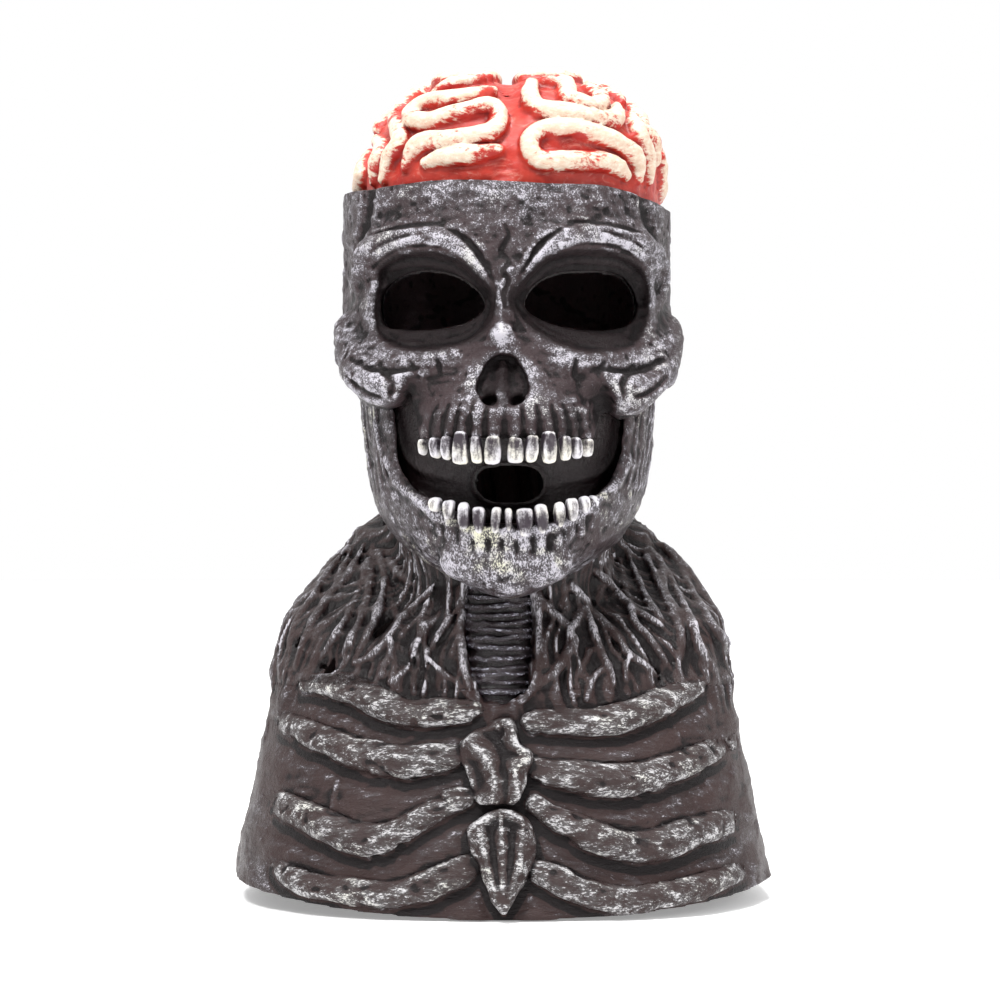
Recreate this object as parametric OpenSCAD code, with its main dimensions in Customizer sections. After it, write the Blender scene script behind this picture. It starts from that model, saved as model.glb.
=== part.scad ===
// Latex skull mask: a full-head mask with an exposed brain, a hinged lower jaw and a ribbed chest bib.
// The origin is the centre of the wearer's head at the eye line. The mask faces -Y and +Z is up.

/* [Head] */
// Width of the skull shell at the temples
head_w = 177; // [170:1:184]
// Depth of the forehead in front of the head's axis
head_front = 92; // [90:1:96]
// Depth of the skull behind the head's axis
head_back = 108; // [104:1:112]
// Height of the sawn skull rim above the eye line
rim_z = 57; // [54:1:60]
// Height of the brain's crown above the eye line
brain_top = 123; // [122:1:126]

/* [Face] */
// Distance between the centres of the eye holes
eye_spacing = 75; // [70:1:78]
// Width of an eye hole in the liner
eye_w = 54; // [46:1:58]
// Height of an eye hole in the liner
eye_h = 29; // [24:1:32]
// Width of the mouth hole
mouth_w = 38; // [30:1:42]
// Height of the mouth hole
mouth_h = 21; // [16:1:22]

/* [Jaw] */
// Depth of the jaw hinge behind the head's axis
hinge_y = 12; // [10:1:14]
// Depth of the jaw hinge below the eye line
hinge_drop = 30; // [28:1:32]
// Radius of the hinge stud's pin
pin_r = 2.5; // [2:0.1:3]
// Radial clearance of the pin in its eyelet
pin_gap = 0.05; // [0.02:0.01:0.1]

/* [Chest] */
// Width of the bib at the hem
hem_w = 296; // [280:1:304]
// Depth of the hem below the eye line at the middle of the chest
hem_drop = 320; // [312:1:326]
// Rise of the hem from the middle of the chest to its sides
hem_rise = 12; // [6:1:16]

/* [Latex] */
// Wall of the outer castings
wall = 3; // [2.5:0.1:3.5]
// Wall of the face liner
liner_wall = 1.6; // [1.2:0.1:2]

/* [Hidden] */

// Left and right as seen from in front of the mask
left = -1;
right = 1;
gap = 0.3;
far = 400;
head_a = head_w / 2;
seam_y = 8;
hem_a = hem_w / 2;
hem_z = -hem_drop;
hinge_z = -hinge_drop;

// Cross-sections: [z, half width, depth in front, depth behind], lowest first
head_rings = [
    [-100, head_a - 12, head_front + 2, head_back - 34],
    [-75, head_a - 6, head_front + 8, head_back - 26],
    [-55, head_a, head_front + 6, head_back - 17],
    [-40, head_a + 2.5, head_front + 3, head_back - 10],
    [-25, head_a + 3.5, head_front, head_back - 6],
    [-8, head_a + 0.5, head_front, head_back - 2],
    [15, head_a, head_front + 2, head_back],
    [35, head_a, head_front, head_back - 1],
    [60, head_a - 0.5, head_front - 3, head_back - 6],
];
brain_rings = [
    [rim_z - 9, head_a - wall - 2, head_front - 9, head_back - 12],
    [rim_z + 12, head_a - wall - 2.5, head_front - 10, head_back - 14],
    [rim_z + 27, head_a - 8, head_front - 15, head_back - 20],
    [rim_z + 43, head_a - 18, head_front - 26, head_back - 32],
    [rim_z + 55, head_a - 33, head_front - 42, head_back - 48],
    [rim_z + 62, head_a - 51, head_front - 60, head_back - 68],
    [brain_top, head_a - 87, head_front - 91, head_back - 107],
];
liner_rings = [
    [-130, 57, 77, 60],
    [-118, 63, 82.3, 60],
    [-105, 68, 86, 62],
    [-80, 71, 90, 66],
    [-55, 72, 90, 72],
    [-25, 72, 83, 76],
    [0, 74, 78, 80],
    [40, 78, 78, 84],
];
jaw_rings = [
    [-160, 12, 84, 60],
    [-152, 38, 100, 60],
    [-142, 58, 105, 62],
    [-130, 68, 104, 66],
    [-112, 74, 104, 72],
    [-90, 77, 102, 80],
    [-55, 84, 96, 92],
    [-20, 84, 90, 96],
];
// The throat is a tube round the neck; the shoulders spread from behind it to the chest
throat_rings = [
    [-240, 58, 87, 60],
    [-200, 58, 76, 66],
    [-175, 57, 65, 72],
    [-160, 55, 60, 74],
    [-148, 54, 60, 75],
    [-136, 55, 67, 75],
    [-118, 62, 80, 75],
    [-105, 66, 86, 76],
    [-90, 69, 90, 80],
    [-55, 76, 94, head_back - 18],
];
shoulder_rings = [
    [hem_z - 6, hem_a + 1, 114, 115],
    [-300, hem_a - 4, 108, 112],
    [-270, hem_a - 10, 102, 110],
    [-245, hem_a - 15, 94, 108],
    [-215, hem_a - 20, 82, 106],
    [-195, hem_a - 21, 73, 104],
    [-175, hem_a - 24, 60, 102],
    [-162, hem_a - 29, 42, 98],
    [-150, hem_a - 38, 22, 92],
    [-142, hem_a - 46, 8, 88],
    [-133, 94, -4, 81],
    [-124, 82, -12, 70],
    [-114, 64, -20, 56],
    [-104, 50, -26, 44],
];
head_n = 2.3;
chest_n = 2.5;
groove_deep = 9;
groove_half = 7;

// Cubic through the stations of a table, column k at height z
function station(table, z, i = 0) =
    i >= len(table) - 2 || z < table[i + 1][0] ? i : station(table, z, i + 1);
function across(table, z, k) =
    let (i = station(table, z), last = len(table) - 1,
         p0 = table[max(i - 1, 0)], p1 = table[i],
         p2 = table[i + 1], p3 = table[min(i + 2, last)],
         span = p2[0] - p1[0], u = (z - p1[0]) / span,
         m1 = span * (p2[k] - p0[k]) / (p2[0] - p0[0]),
         m2 = span * (p3[k] - p1[k]) / (p3[0] - p1[0]))
    (2 * u^3 - 3 * u^2 + 1) * p1[k] + (u^3 - 2 * u^2 + u) * m1
    + (3 * u^2 - 2 * u^3) * p2[k] + (u^3 - u^2) * m2;

function rounded(v, n) = sign(v) * abs(v)^(2 / n);
function hill(x, z, x0, z0, w, h) = exp(-((x - x0) / w)^2 - ((z - z0) / h)^2);

// A point of a section, at angle t from the front and height z, grown outward by off
function spot(table, t, z, off, n = head_n) =
    let (deep = cos(t) > 0 ? across(table, z, 2) : across(table, z, 3))
    [(across(table, z, 1) + off) * rounded(sin(t), n),
     -(deep + off) * rounded(cos(t), n), z];

// The same for a section that is centred between its front and its back
function mid_spot(table, t, z, off, n = chest_n) =
    let (front = across(table, z, 2), back = across(table, z, 3))
    [(across(table, z, 1) + off) * rounded(sin(t), n),
     (back - front) / 2 - ((front + back) / 2 + off) * rounded(cos(t), n), z];

// The point of the chest at distance x from the middle, seen from the front
function chest_spot(x, z, off) =
    let (half = across(shoulder_rings, z, 1),
         t = asin(sign(x) * min(abs(x) / half, 0.999)^(chest_n / 2)))
    mid_spot(shoulder_rings, t, z, off);

// The brain's dome, with the groove between its halves pressed in
function brain_spot(t, z, off) =
    let (p = spot(brain_rings, t, z, off), high = max(0, (z - rim_z - 10) / 50))
    [p[0], p[1], p[2] + off - groove_deep * high * exp(-(p[0] / groove_half)^2)];

// How far the skull's relief stands out of its section
function relief(x, z) =
    4 * hill(abs(x), z, 34, 33, 22, 9)
    + 9 * hill(abs(x), z, 62, -42, 15, 12)
    + 12 * hill(x, z, 0, -66, 30, 22)
    + 7 * hill(x, z, 0, -16, 9, 22)
    - 5 * hill(x, z, 0, -47, 9, 8);
function face_spot(t, z, off) =
    let (p = spot(head_rings, t, z, off))
    cos(t) > 0 ? [p[0], p[1] - relief(p[0], z), z] : p;

function rows(low, high, count) = [for (i = [0:count]) low + (high - low) * i / count];
function turn(count) = [for (i = [0:count - 1]) 360 * i / count];

// A solid through rings of points, lowest ring first
module loft(rings) {
    n = len(rings[0]);
    sides = [for (j = [0:len(rings) - 2], i = [0:n - 1])
        let (a = j * n + i, b = j * n + (i + 1) % n)
        each [[a, a + n, b + n], [a, b + n, b]]];
    low = [for (i = [0:n - 1]) i];
    high = [for (i = [n - 1:-1:0]) (len(rings) - 1) * n + i];
    polyhedron([for (r = rings) each r], concat([low], sides, [high]), convexity = 6);
}

module section_loft(table, heights, off, count = 64, n = head_n) {
    loft([for (z = heights) [for (t = turn(count)) spot(table, t, z, off, n)]]);
}

module skull_loft(heights, off, count) {
    loft([for (z = heights) [for (t = turn(count)) face_spot(t, z, off)]]);
}

// Hands a free-form piece over as one mesh
module cast() { resize([0, 0, 0]) children(); }

// A prism of an outline drawn in the front view, running along Y
module front_prism(outline, y0, y1) {
    translate([0, y1, 0]) rotate([90, 0, 0]) linear_extrude(y1 - y0) polygon(outline);
}

// A prism of an outline drawn in the side view as [y, z], running along X
module side_prism(outline) {
    rotate([90, 0, 90]) linear_extrude(far, center = true) polygon(outline);
}

module rounded_hole(x, z, w, h, r, y0, y1) {
    translate([x, y1, z]) rotate([90, 0, 0]) linear_extrude(y1 - y0)
        hull() for (i = [-1, 1], j = [-1, 1])
            translate([i * (w / 2 - r), j * (h / 2 - r)]) circle(r, $fn = 24);
}

module brain_loft(levels, off) {
    loft([for (z = levels) [for (t = turn(48)) brain_spot(t, z, off)]]);
}

module brain_cap() {
    levels = [rim_z - 8, rim_z + 8, rim_z + 20, rim_z + 32, rim_z + 42, rim_z + 50,
              rim_z + 56, rim_z + 61, rim_z + 64, brain_top];
    color("firebrick") cast() difference() {
        brain_loft(levels, 0);
        brain_loft([rim_z - 20, each levels], -wall);
    }
}

module skull_skin(count) {
    difference() {
        skull_loft(rows(-80, rim_z, 20), 0, count);
        skull_loft(rows(-90, rim_z + 10, 20), -wall, count);
    }
}

module face_shell() {
    cheek = [[-70, -57], [-50, -57], [-44, -50], [-39, -60], [-42, -74]];
    edge = [[-120, rim_z + 5], [-120, -38], [-88, -42], each cheek,
            for (i = [len(cheek) - 1:-1:0]) [-cheek[i][0], cheek[i][1]],
            [88, -42], [120, -38], [120, rim_z + 5]];
    orbit_w = eye_w + 6;
    orbit_h = eye_h + 13;
    color("dimgray") cast() difference() {
        intersection() {
            skull_skin(88);
            front_prism(edge, -200, seam_y);
        }
        for (side = [left, right])
            rounded_hole(side * eye_spacing / 2, -4, orbit_w, orbit_h, 18, -200, -40);
    }
}

// The rear casting, with a floor that closes the skull down to the neck
floor_z = -60;
module rear_shell() {
    floor_y = 33;
    color("gray") cast() union() {
        intersection() {
            skull_skin(60);
            side_prism([[seam_y + gap, rim_z + 5], [seam_y + gap, -38], [30, floor_z],
                        [200, floor_z], [200, rim_z + 5]]);
        }
        difference() {
            skull_loft([floor_z, floor_z + wall], -wall / 2, 60);
            section_loft(throat_rings, [floor_z - 1, floor_z + wall + 1], -wall, 40);
            translate([0, floor_y - far / 2, floor_z]) cube(far, center = true);
        }
    }
}

// A row of teeth on an arch. up is 1 where the tips point up, root_z is the gum line.
module tooth_row(root_z, up, arch_a, arch_f, tall) {
    count = 12;
    pitch = 11;
    middle_half = 3.1;
    taper = 0.05;
    arch_sweep = 30;
    for (i = [0:count - 1]) {
        from_middle = i + 0.5 - count / 2;
        t = from_middle * pitch;
        w = middle_half - taper * abs(from_middle);
        translate([arch_a * sin(t), -arch_f + arch_sweep * (1 - cos(t)), root_z])
            rotate([0, 0, t]) hull() {
                translate([0, 0, up * 0.5]) cube([w * 1.5, 4, 1], center = true);
                translate([0, 0, up * tall * 0.7]) cube([w * 2, 5, 1], center = true);
                translate([0, 0, up * (tall - 0.5)]) cube([w * 1.6, 2.6, 1], center = true);
            }
    }
}

module upper_teeth() {
    color("ivory") tooth_row(-74 - gap, -1, 43, 108.5, 13);
}

// Height where the liner meets the neck casting under the mouth
throat_z = -118;
module face_liner() {
    levels = rows(throat_z, 38, 15);
    color([0.13, 0.09, 0.09]) cast() difference() {
        section_loft(liner_rings, levels, 0, 52);
        section_loft(liner_rings, [throat_z - 5, each levels, 39.9], -liner_wall, 52);
        translate([0, 14 + far / 2, 0]) cube(far, center = true);
        for (side = [left, right])
            rounded_hole(side * eye_spacing / 2, -4, eye_w, eye_h, 13, -200, -20);
        rounded_hole(0, -99, mouth_w, mouth_h, 10, -200, -20);
    }
}

// The mandible in the side view: [y, z] round the ramus, the tooth line and the chin
module jaw_outline() {
    side_prism([[28, -22], [-30, -22], [-50, -34], [-62, -52], [-66, -68], [-67, -82],
                [-73, -95], [-82, -103], [-91, -108], [-96, -114], [-101, -121],
                [-130, -122], [-130, -170], [-86, -170], [-50, -148], [-18, -128],
                [6, -106], [20, -84], [28, -56]]);
}

module jaw_shell() {
    levels = [-158, -154, -148, -140, -131, -121, -110, -98, -86, -72, -56, -40, -22];
    color("dimgray") cast() intersection() {
        difference() {
            section_loft(jaw_rings, levels, 0, 64);
            section_loft(jaw_rings, [-160, each levels, -20.5], -wall, 64);
        }
        jaw_outline();
    }
}

module lower_teeth() {
    color("ivory") tooth_row(-122 + gap, 1, 41, 97.5, 15);
}

// Distances of the stud and its eyelet from the middle of the head
stud_x = 74.4;
stud_base = 1.2;
eyelet_x = 76;
eyelet_floor = 2.2;
eyelet_end = 80.3;
stud_head = 1.2;

module along_x(side, x0, x1) {
    translate([side * (x0 + x1) / 2, hinge_y, hinge_z]) rotate([0, 90, 0]) children();
}

module jaw_stud(side) {
    head_x = eyelet_x + eyelet_floor + 0.3;
    color("black") union() {
        along_x(side, stud_x, stud_x + stud_base)
            cylinder(r = pin_r + 4, h = stud_base, center = true, $fn = 48);
        along_x(side, stud_x, head_x + stud_head)
            cylinder(r = pin_r, h = head_x + stud_head - stud_x, center = true, $fn = 48);
        along_x(side, head_x, head_x + stud_head)
            cylinder(r = pin_r + 1.3, h = stud_head, center = true, $fn = 48);
    }
}

module jaw_eyelet(side) {
    long = eyelet_end - eyelet_x;
    color("silver") difference() {
        along_x(side, eyelet_x, eyelet_end)
            cylinder(r = pin_r + 3.6, h = long, center = true, $fn = 48);
        along_x(side, eyelet_x, eyelet_end)
            cylinder(r = pin_r + pin_gap, h = long + 2, center = true, $fn = 48);
        along_x(side, eyelet_x + eyelet_floor, eyelet_end + 2)
            cylinder(r = pin_r + 1.7, h = long - eyelet_floor + 2, center = true, $fn = 48);
    }
}

module body_solid(low, high, off) {
    shoulder_top = min(high, -105);
    row_count = max(4, round((shoulder_top - low) / 11));
    loft([for (z = rows(low, shoulder_top, row_count))
        [for (t = turn(60)) mid_spot(shoulder_rings, t, z, off)]]);
    if (high > -238) section_loft(throat_rings, rows(max(low, -238), high, 12), off, 40);
}

module body_skin(low, high) {
    difference() {
        body_solid(low, high, 0);
        body_solid(low - 2, high + 2, -wall);
    }
}

// Height where the neck casting meets the chest castings
collar_z = -212;

module neck_skin() {
    front_z = throat_z - gap;
    back_y = 14.5;
    color([0.22, 0.17, 0.17]) cast() intersection() {
        body_skin(collar_z, floor_z + 2);
        side_prism([[-200, -300], [-200, front_z], [back_y, front_z], [back_y, floor_z - gap],
                    [200, floor_z - gap], [200, -300]]);
    }
}

module hem_shape() {
    r = (hem_a^2 + hem_rise^2) / (2 * hem_rise);
    translate([0, 0, hem_z + r]) rotate([90, 0, 0]) cylinder(r = r, h = far, center = true, $fn = 240);
}

module chest_half(y0, y1) {
    intersection() {
        body_skin(hem_z - 4, collar_z - gap);
        hem_shape();
        translate([-far / 2, y0, -far]) cube([far, y1 - y0, far]);
    }
}

module chest_front() { color([0.25, 0.2, 0.2]) cast() chest_half(-200, seam_y); }
module chest_back() { color([0.25, 0.2, 0.2]) cast() chest_half(seam_y + gap, 200); }

// A ringed tube down the front of the neck, leaning with it
module windpipe() {
    ring_count = 11;
    tube_r = 27;
    tube_wall = 2.4;
    ring_r = 1.5;
    tall = 42;
    lean = 14;
    top_y = -49;
    top_z = -169;
    color([0.12, 0.1, 0.1])
        translate([0, top_y, top_z]) rotate([-lean, 0, 0]) translate([0, 0, -tall])
            rotate_extrude(angle = 90, start = -135, $fn = 96) {
                translate([tube_r, 0]) square([tube_wall, tall]);
                for (i = [0:ring_count - 1])
                    translate([tube_r + tube_wall, (i + 0.5) * tall / ring_count])
                        circle(ring_r, $fn = 24);
            }
}

// A bone on the chest: path of [x, z, half height] seen from the front, standing proud by tall
module bone(path, tall) {
    steps = 7;
    rim = 1.7;
    section = [for (j = [0:steps]) -1 + 2 * j / steps];
    outer = [for (p = path) [for (s = section)
        chest_spot(p[0], p[1] + s * p[2], rim + tall * sqrt(max(1 - s * s, 0.02)))]];
    inner = [for (p = path) [for (j = [steps:-1:0])
        chest_spot(p[0], p[1] + section[j] * p[2], rim)]];
    rings = [for (i = [0:len(path) - 1]) concat(outer[i], inner[i])];
    n = len(rings[0]);
    sides = [for (k = [0:len(rings) - 2], i = [0:n - 1])
        let (a = k * n + i, b = k * n + (i + 1) % n)
        each [[a, b, b + n], [a, b + n, a + n]]];
    first = [for (i = [1:n - 2]) [0, i + 1, i]];
    last = (len(rings) - 1) * n;
    end = [for (i = [1:n - 2]) [last, last + i, last + i + 1]];
    polyhedron([for (r = rings) each r], concat(first, sides, end), convexity = 6);
}

// Paths run from the breastbone outward; x is the distance from the middle
left_collarbone_path = [
    [15, -216, 4], [38, -217, 8], [54, -217, 8], [68, -212, 8], [82, -206, 7], [108, -204, 4]];
right_collarbone_path = [
    [12, -221, 5], [31, -221, 7], [47, -222, 8], [62, -220, 8], [79, -213, 8], [103, -205, 4]];
left_rib_paths = [
    [[26, -239, 6], [40, -240, 8], [54, -242, 9], [68, -240, 9],
     [83, -236, 8], [98, -231, 7], [111, -227, 6], [121, -225, 6]],
    [[19, -259, 5], [40, -267, 7], [56, -277, 7], [70, -281, 8], [84, -279, 9],
     [98, -273, 8], [111, -268, 7], [121, -265, 6], [128, -263, 5]],
    [[17, -292, 5], [31, -298, 8], [44, -304, 8], [60, -308, 7], [77, -307, 7],
     [98, -305, 6], [111, -302, 6], [122, -299, 5], [131, -296, 4]],
];
right_rib_paths = [
    [[13, -245, 5], [30, -248, 8], [48, -251, 9], [66, -251, 9],
     [84, -246, 8], [102, -241, 7], [121, -235, 5]],
    [[14, -262, 5], [27, -270, 7], [43, -278, 8], [60, -284, 8], [75, -284, 9],
     [93, -279, 8], [111, -276, 7], [129, -275, 5]],
    [[15, -295, 5], [28, -301, 7], [41, -307, 7], [60, -311, 7], [79, -309, 7],
     [98, -306, 6], [116, -302, 5], [132, -299, 4]],
];

module left_bone(path, tall) { color("darkgray") mirror([1, 0, 0]) bone(path, tall); }
module right_bone(path, tall) { color("darkgray") bone(path, tall); }

module breastbone_upper() {
    color("gray") bone([[-22, -236, 7], [-14, -238, 14], [-6, -241, 17], [2, -240, 14], [9, -238, 7]], 8);
}
module breastbone_lower() {
    color("gray") bone([[-14, -276, 7], [-7, -283, 17], [0, -289, 24], [7, -283, 17], [14, -276, 7]], 8);
}

bone_tall = 6;
brain_cap();
face_shell();
rear_shell();
upper_teeth();
face_liner();
jaw_shell();
lower_teeth();
jaw_stud(left);  // left_jaw_stud
jaw_stud(right);  // right_jaw_stud
jaw_eyelet(left);  // left_jaw_eyelet
jaw_eyelet(right);  // right_jaw_eyelet
neck_skin();
windpipe();
chest_front();
chest_back();
left_bone(left_collarbone_path, bone_tall);  // left_collarbone
right_bone(right_collarbone_path, bone_tall);  // right_collarbone
left_bone(left_rib_paths[0], bone_tall);  // left_rib_upper
left_bone(left_rib_paths[1], bone_tall);  // left_rib_middle
left_bone(left_rib_paths[2], bone_tall);  // left_rib_lower
right_bone(right_rib_paths[0], bone_tall);  // right_rib_upper
right_bone(right_rib_paths[1], bone_tall);  // right_rib_middle
right_bone(right_rib_paths[2], bone_tall);  // right_rib_lower
breastbone_upper();
breastbone_lower();
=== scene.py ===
import math

import bpy
import numpy as np
import openvdb
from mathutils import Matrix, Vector


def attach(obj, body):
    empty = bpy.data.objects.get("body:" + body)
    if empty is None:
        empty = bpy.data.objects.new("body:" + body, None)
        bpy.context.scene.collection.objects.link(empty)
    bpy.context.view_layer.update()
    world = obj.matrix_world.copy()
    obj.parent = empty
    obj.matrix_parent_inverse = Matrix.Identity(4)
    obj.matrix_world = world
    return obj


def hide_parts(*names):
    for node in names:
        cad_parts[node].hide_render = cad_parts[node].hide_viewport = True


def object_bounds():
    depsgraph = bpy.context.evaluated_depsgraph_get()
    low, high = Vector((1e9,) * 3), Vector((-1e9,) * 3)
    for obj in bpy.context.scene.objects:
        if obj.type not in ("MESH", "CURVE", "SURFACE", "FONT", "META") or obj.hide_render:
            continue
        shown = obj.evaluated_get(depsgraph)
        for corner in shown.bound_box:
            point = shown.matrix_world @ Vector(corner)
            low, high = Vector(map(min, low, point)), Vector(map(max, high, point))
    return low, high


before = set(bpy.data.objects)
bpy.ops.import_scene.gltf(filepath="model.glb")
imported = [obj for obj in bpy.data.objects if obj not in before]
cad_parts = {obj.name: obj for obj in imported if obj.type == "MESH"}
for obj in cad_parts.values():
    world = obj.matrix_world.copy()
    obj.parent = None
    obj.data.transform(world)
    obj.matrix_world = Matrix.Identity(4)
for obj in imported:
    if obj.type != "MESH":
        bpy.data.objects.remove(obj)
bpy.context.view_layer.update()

# Everything is sculpted as a field of signed distances in mm, negative inside the latex, with
# the frame's own origin and axes: -Y is the front and +Z is up.
MM = 0.001
SKIN = 3.0            # wall of the outer castings
SEAM_Y = 8.0          # the seam between the front and rear castings
RIM_Z = 57.0          # the sawn rim of the skull
COLLAR_Z = -205.0     # where the neck tucks in behind the collarbones
HEM_Z = -320.0        # the bottom edge, at the middle
HEM_RISE = 12.0       # and how much higher it is at the sides
HEM_HALF = 148.0
SQUARE = 2.3          # the sections' roundness: 2 is an ellipse, more is squarer
SHOULDER_SQUARE = 2.5

# Sections: height, half width, depth in front, depth behind, lowest first
HEAD = [(-100, 72, 94, 74), (-75, 76, 98, 82), (-55, 80.5, 96, 91), (-40, 86, 94, 98),
        (-25, 89, 92, 102), (-8, 89, 92, 106), (15, 88.5, 94, 108), (35, 88.5, 92, 107),
        (60, 88, 89, 102)]
# The brain sits a little to one side of the middle, by the last number of each row
BRAIN = [(42, 81, 83, 96, 2.5), (48, 81, 83, 96, 2.5), (69, 80, 82, 94, 2.5), (84, 77.5, 77, 88, 4.5),
         (100, 67, 66, 76, 4), (112, 50.5, 50, 60, 4), (119, 35, 32, 40, 4), (123, 2, 2, 2, 4)]
LINER = [(-130, 53, 74, 60), (-118, 58.5, 79, 60), (-105, 62.5, 82.5, 62), (-80, 68.5, 88.5, 66),
         (-55, 72, 90, 72), (-30, 72, 82, 76), (0, 74, 75, 80), (40, 78, 76, 84)]
JAW = [(-160, 9, 84, 60), (-154, 20, 97, 60), (-148, 33, 102, 60), (-140, 46, 104, 62), (-130, 58, 103.5, 66),
       (-120, 66, 103, 70), (-112, 70.5, 102, 72), (-90, 75, 101, 80), (-55, 79, 95, 92), (-20, 81.5, 90, 96)]
JAW_X = 1.0           # the jaw hangs a little to one side
THROAT = [(-240, 58, 87, 60), (-200, 58, 76, 66), (-175, 57, 65, 72), (-160, 55, 60, 74),
          (-148, 54, 60, 75), (-136, 55, 67, 75), (-118, 61.5, 79.5, 75), (-105, 65.5, 85.5, 76),
          (-90, 69, 90, 80), (-55, 76, 94, 90)]
SHOULDERS = [(-326, 148, 114, 115), (-300, 143, 108, 112), (-270, 137, 102, 110), (-245, 132, 94, 108),
             (-215, 126, 82, 106), (-195, 123.5, 73, 104), (-176, 120, 60, 101), (-164, 113, 42, 97),
             (-153, 105, 22, 91), (-146, 99, 8, 86), (-138, 92, -4, 80), (-129, 85, -12, 72),
             (-121, 78, -18, 64), (-109, 58, -24, 52)]
TORSO_X = -2.5        # the shoulders sit a little to the other side of the head


# ---------------------------------------------------------------- the field and its tools

def smin(a, b, k):
    h = np.clip(0.5 + 0.5 * (b - a) / k, 0, 1)
    return b * (1 - h) + a * h - k * h * (1 - h)


def smax(a, b, k):
    return -smin(-a, -b, k)


def across(table, z):
    """Half width, front depth and back depth of a section table at each height, by a smooth cubic."""
    t = np.array(table, float)
    key, val = t[:, 0], t[:, 1:]
    slope = np.gradient(val, key, axis=0)
    z = np.clip(np.ravel(z), key[0], key[-1])
    i = np.clip(np.searchsorted(key, z) - 1, 0, len(key) - 2)
    span = (key[i + 1] - key[i])[:, None]
    u = ((z - key[i])[:, None]) / span
    return ((2 * u**3 - 3 * u**2 + 1) * val[i] + (u**3 - 2 * u**2 + u) * slope[i] * span
            + (3 * u**2 - 2 * u**3) * val[i + 1] + (u**3 - u**2) * slope[i + 1] * span)


def curve(points, steps=5):
    """A smooth path through given points, with columns of any width."""
    p = np.array(points, float)
    if len(p) < 3:
        return p
    ends = np.vstack([2 * p[0] - p[1], p, 2 * p[-1] - p[-2]])
    out = []
    for i in range(1, len(ends) - 2):
        a, b, c, d = ends[i - 1:i + 3]
        for u in np.arange(steps) / steps:
            out.append(0.5 * (2 * b + (c - a) * u + (2 * a - 5 * b + 4 * c - d) * u**2
                              + (3 * b - a - 3 * c + d) * u**3))
    return np.array(out + [p[-1]])


def loop(points, steps=4):
    """A smooth closed outline through given points."""
    p = [tuple(q) for q in points]
    path = curve([p[-1]] + p + [p[0], p[1]], steps)
    return path[steps:-steps - 1]


def line_gap(line, a, b):
    """Squared distance in a plane from an open line, at a, b."""
    nearest = np.full(np.broadcast(a, b).shape, 1e9)
    for (a0, b0), (a1, b1) in zip(line[:-1], line[1:]):
        da, db = a1 - a0, b1 - b0
        t = np.clip(((a - a0) * da + (b - b0) * db) / max(da * da + db * db, 1e-9), 0, 1)
        nearest = np.minimum(nearest, (a - a0 - t * da)**2 + (b - b0 - t * db)**2)
    return nearest


def outline_distance(outline, a, b):
    """Signed distance in a plane from a closed outline, negative inside, at a, b."""
    closed = [*outline, outline[0]]
    inside = np.zeros(np.broadcast(a, b).shape, bool)
    for (a0, b0), (a1, b1) in zip(closed[:-1], closed[1:]):
        inside ^= ((b0 > b) != (b1 > b)) & (a < (a1 - a0) * (b - b0) / ((b1 - b0) or 1e-9) + a0)
    return np.sqrt(line_gap(closed, a, b)) * np.where(inside, -1, 1)


def tapered(line, first, middle, last):
    """A radius for each point of a line, thinner at its ends."""
    return [first] + [middle] * (len(line) - 2) + [last]


def blurred(f, reach):
    """Box blur of a field by running sums, over reach voxels each way: one number or one per axis."""
    for axis, r in enumerate(np.broadcast_to(reach, (3,))):
        n = f.shape[axis]
        pad = [(0, 0)] * 3
        pad[axis] = (r + 1, r)
        total = np.cumsum(np.pad(f, pad, mode="edge"), axis=axis, dtype=np.float64)
        high = np.take(total, range(2 * r + 1, 2 * r + 1 + n), axis=axis)
        low = np.take(total, range(0, n), axis=axis)
        f = ((high - low) / (2 * r + 1)).astype(np.float32)
    return f


def mottle(clay, size, seed):
    """Smooth random values of spread 1 on the clay's grid, in lumps of the given size along x, y, z."""
    rng = np.random.default_rng(seed)
    reach = [max(1, round(0.35 * c / clay.step)) for c in size]
    f = rng.standard_normal(clay.f.shape, dtype=np.float32)
    f = blurred(blurred(f, reach), reach)
    return f / f.std()


def lattice(u, v, seed):
    """Smooth random values from -1 to 1 over two coordinates counted in lumps."""
    grid = np.random.default_rng(seed).uniform(-1, 1, (257, 257))
    i, j = np.floor(u).astype(int), np.floor(v).astype(int)
    a, b = u - i, v - j
    a, b = a * a * (3 - 2 * a), b * b * (3 - 2 * b)
    i, j = i % 256, j % 256
    return ((grid[i, j] * (1 - a) + grid[i + 1, j] * a) * (1 - b)
            + (grid[i, j + 1] * (1 - a) + grid[i + 1, j + 1] * a) * b).astype(np.float32)


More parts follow.
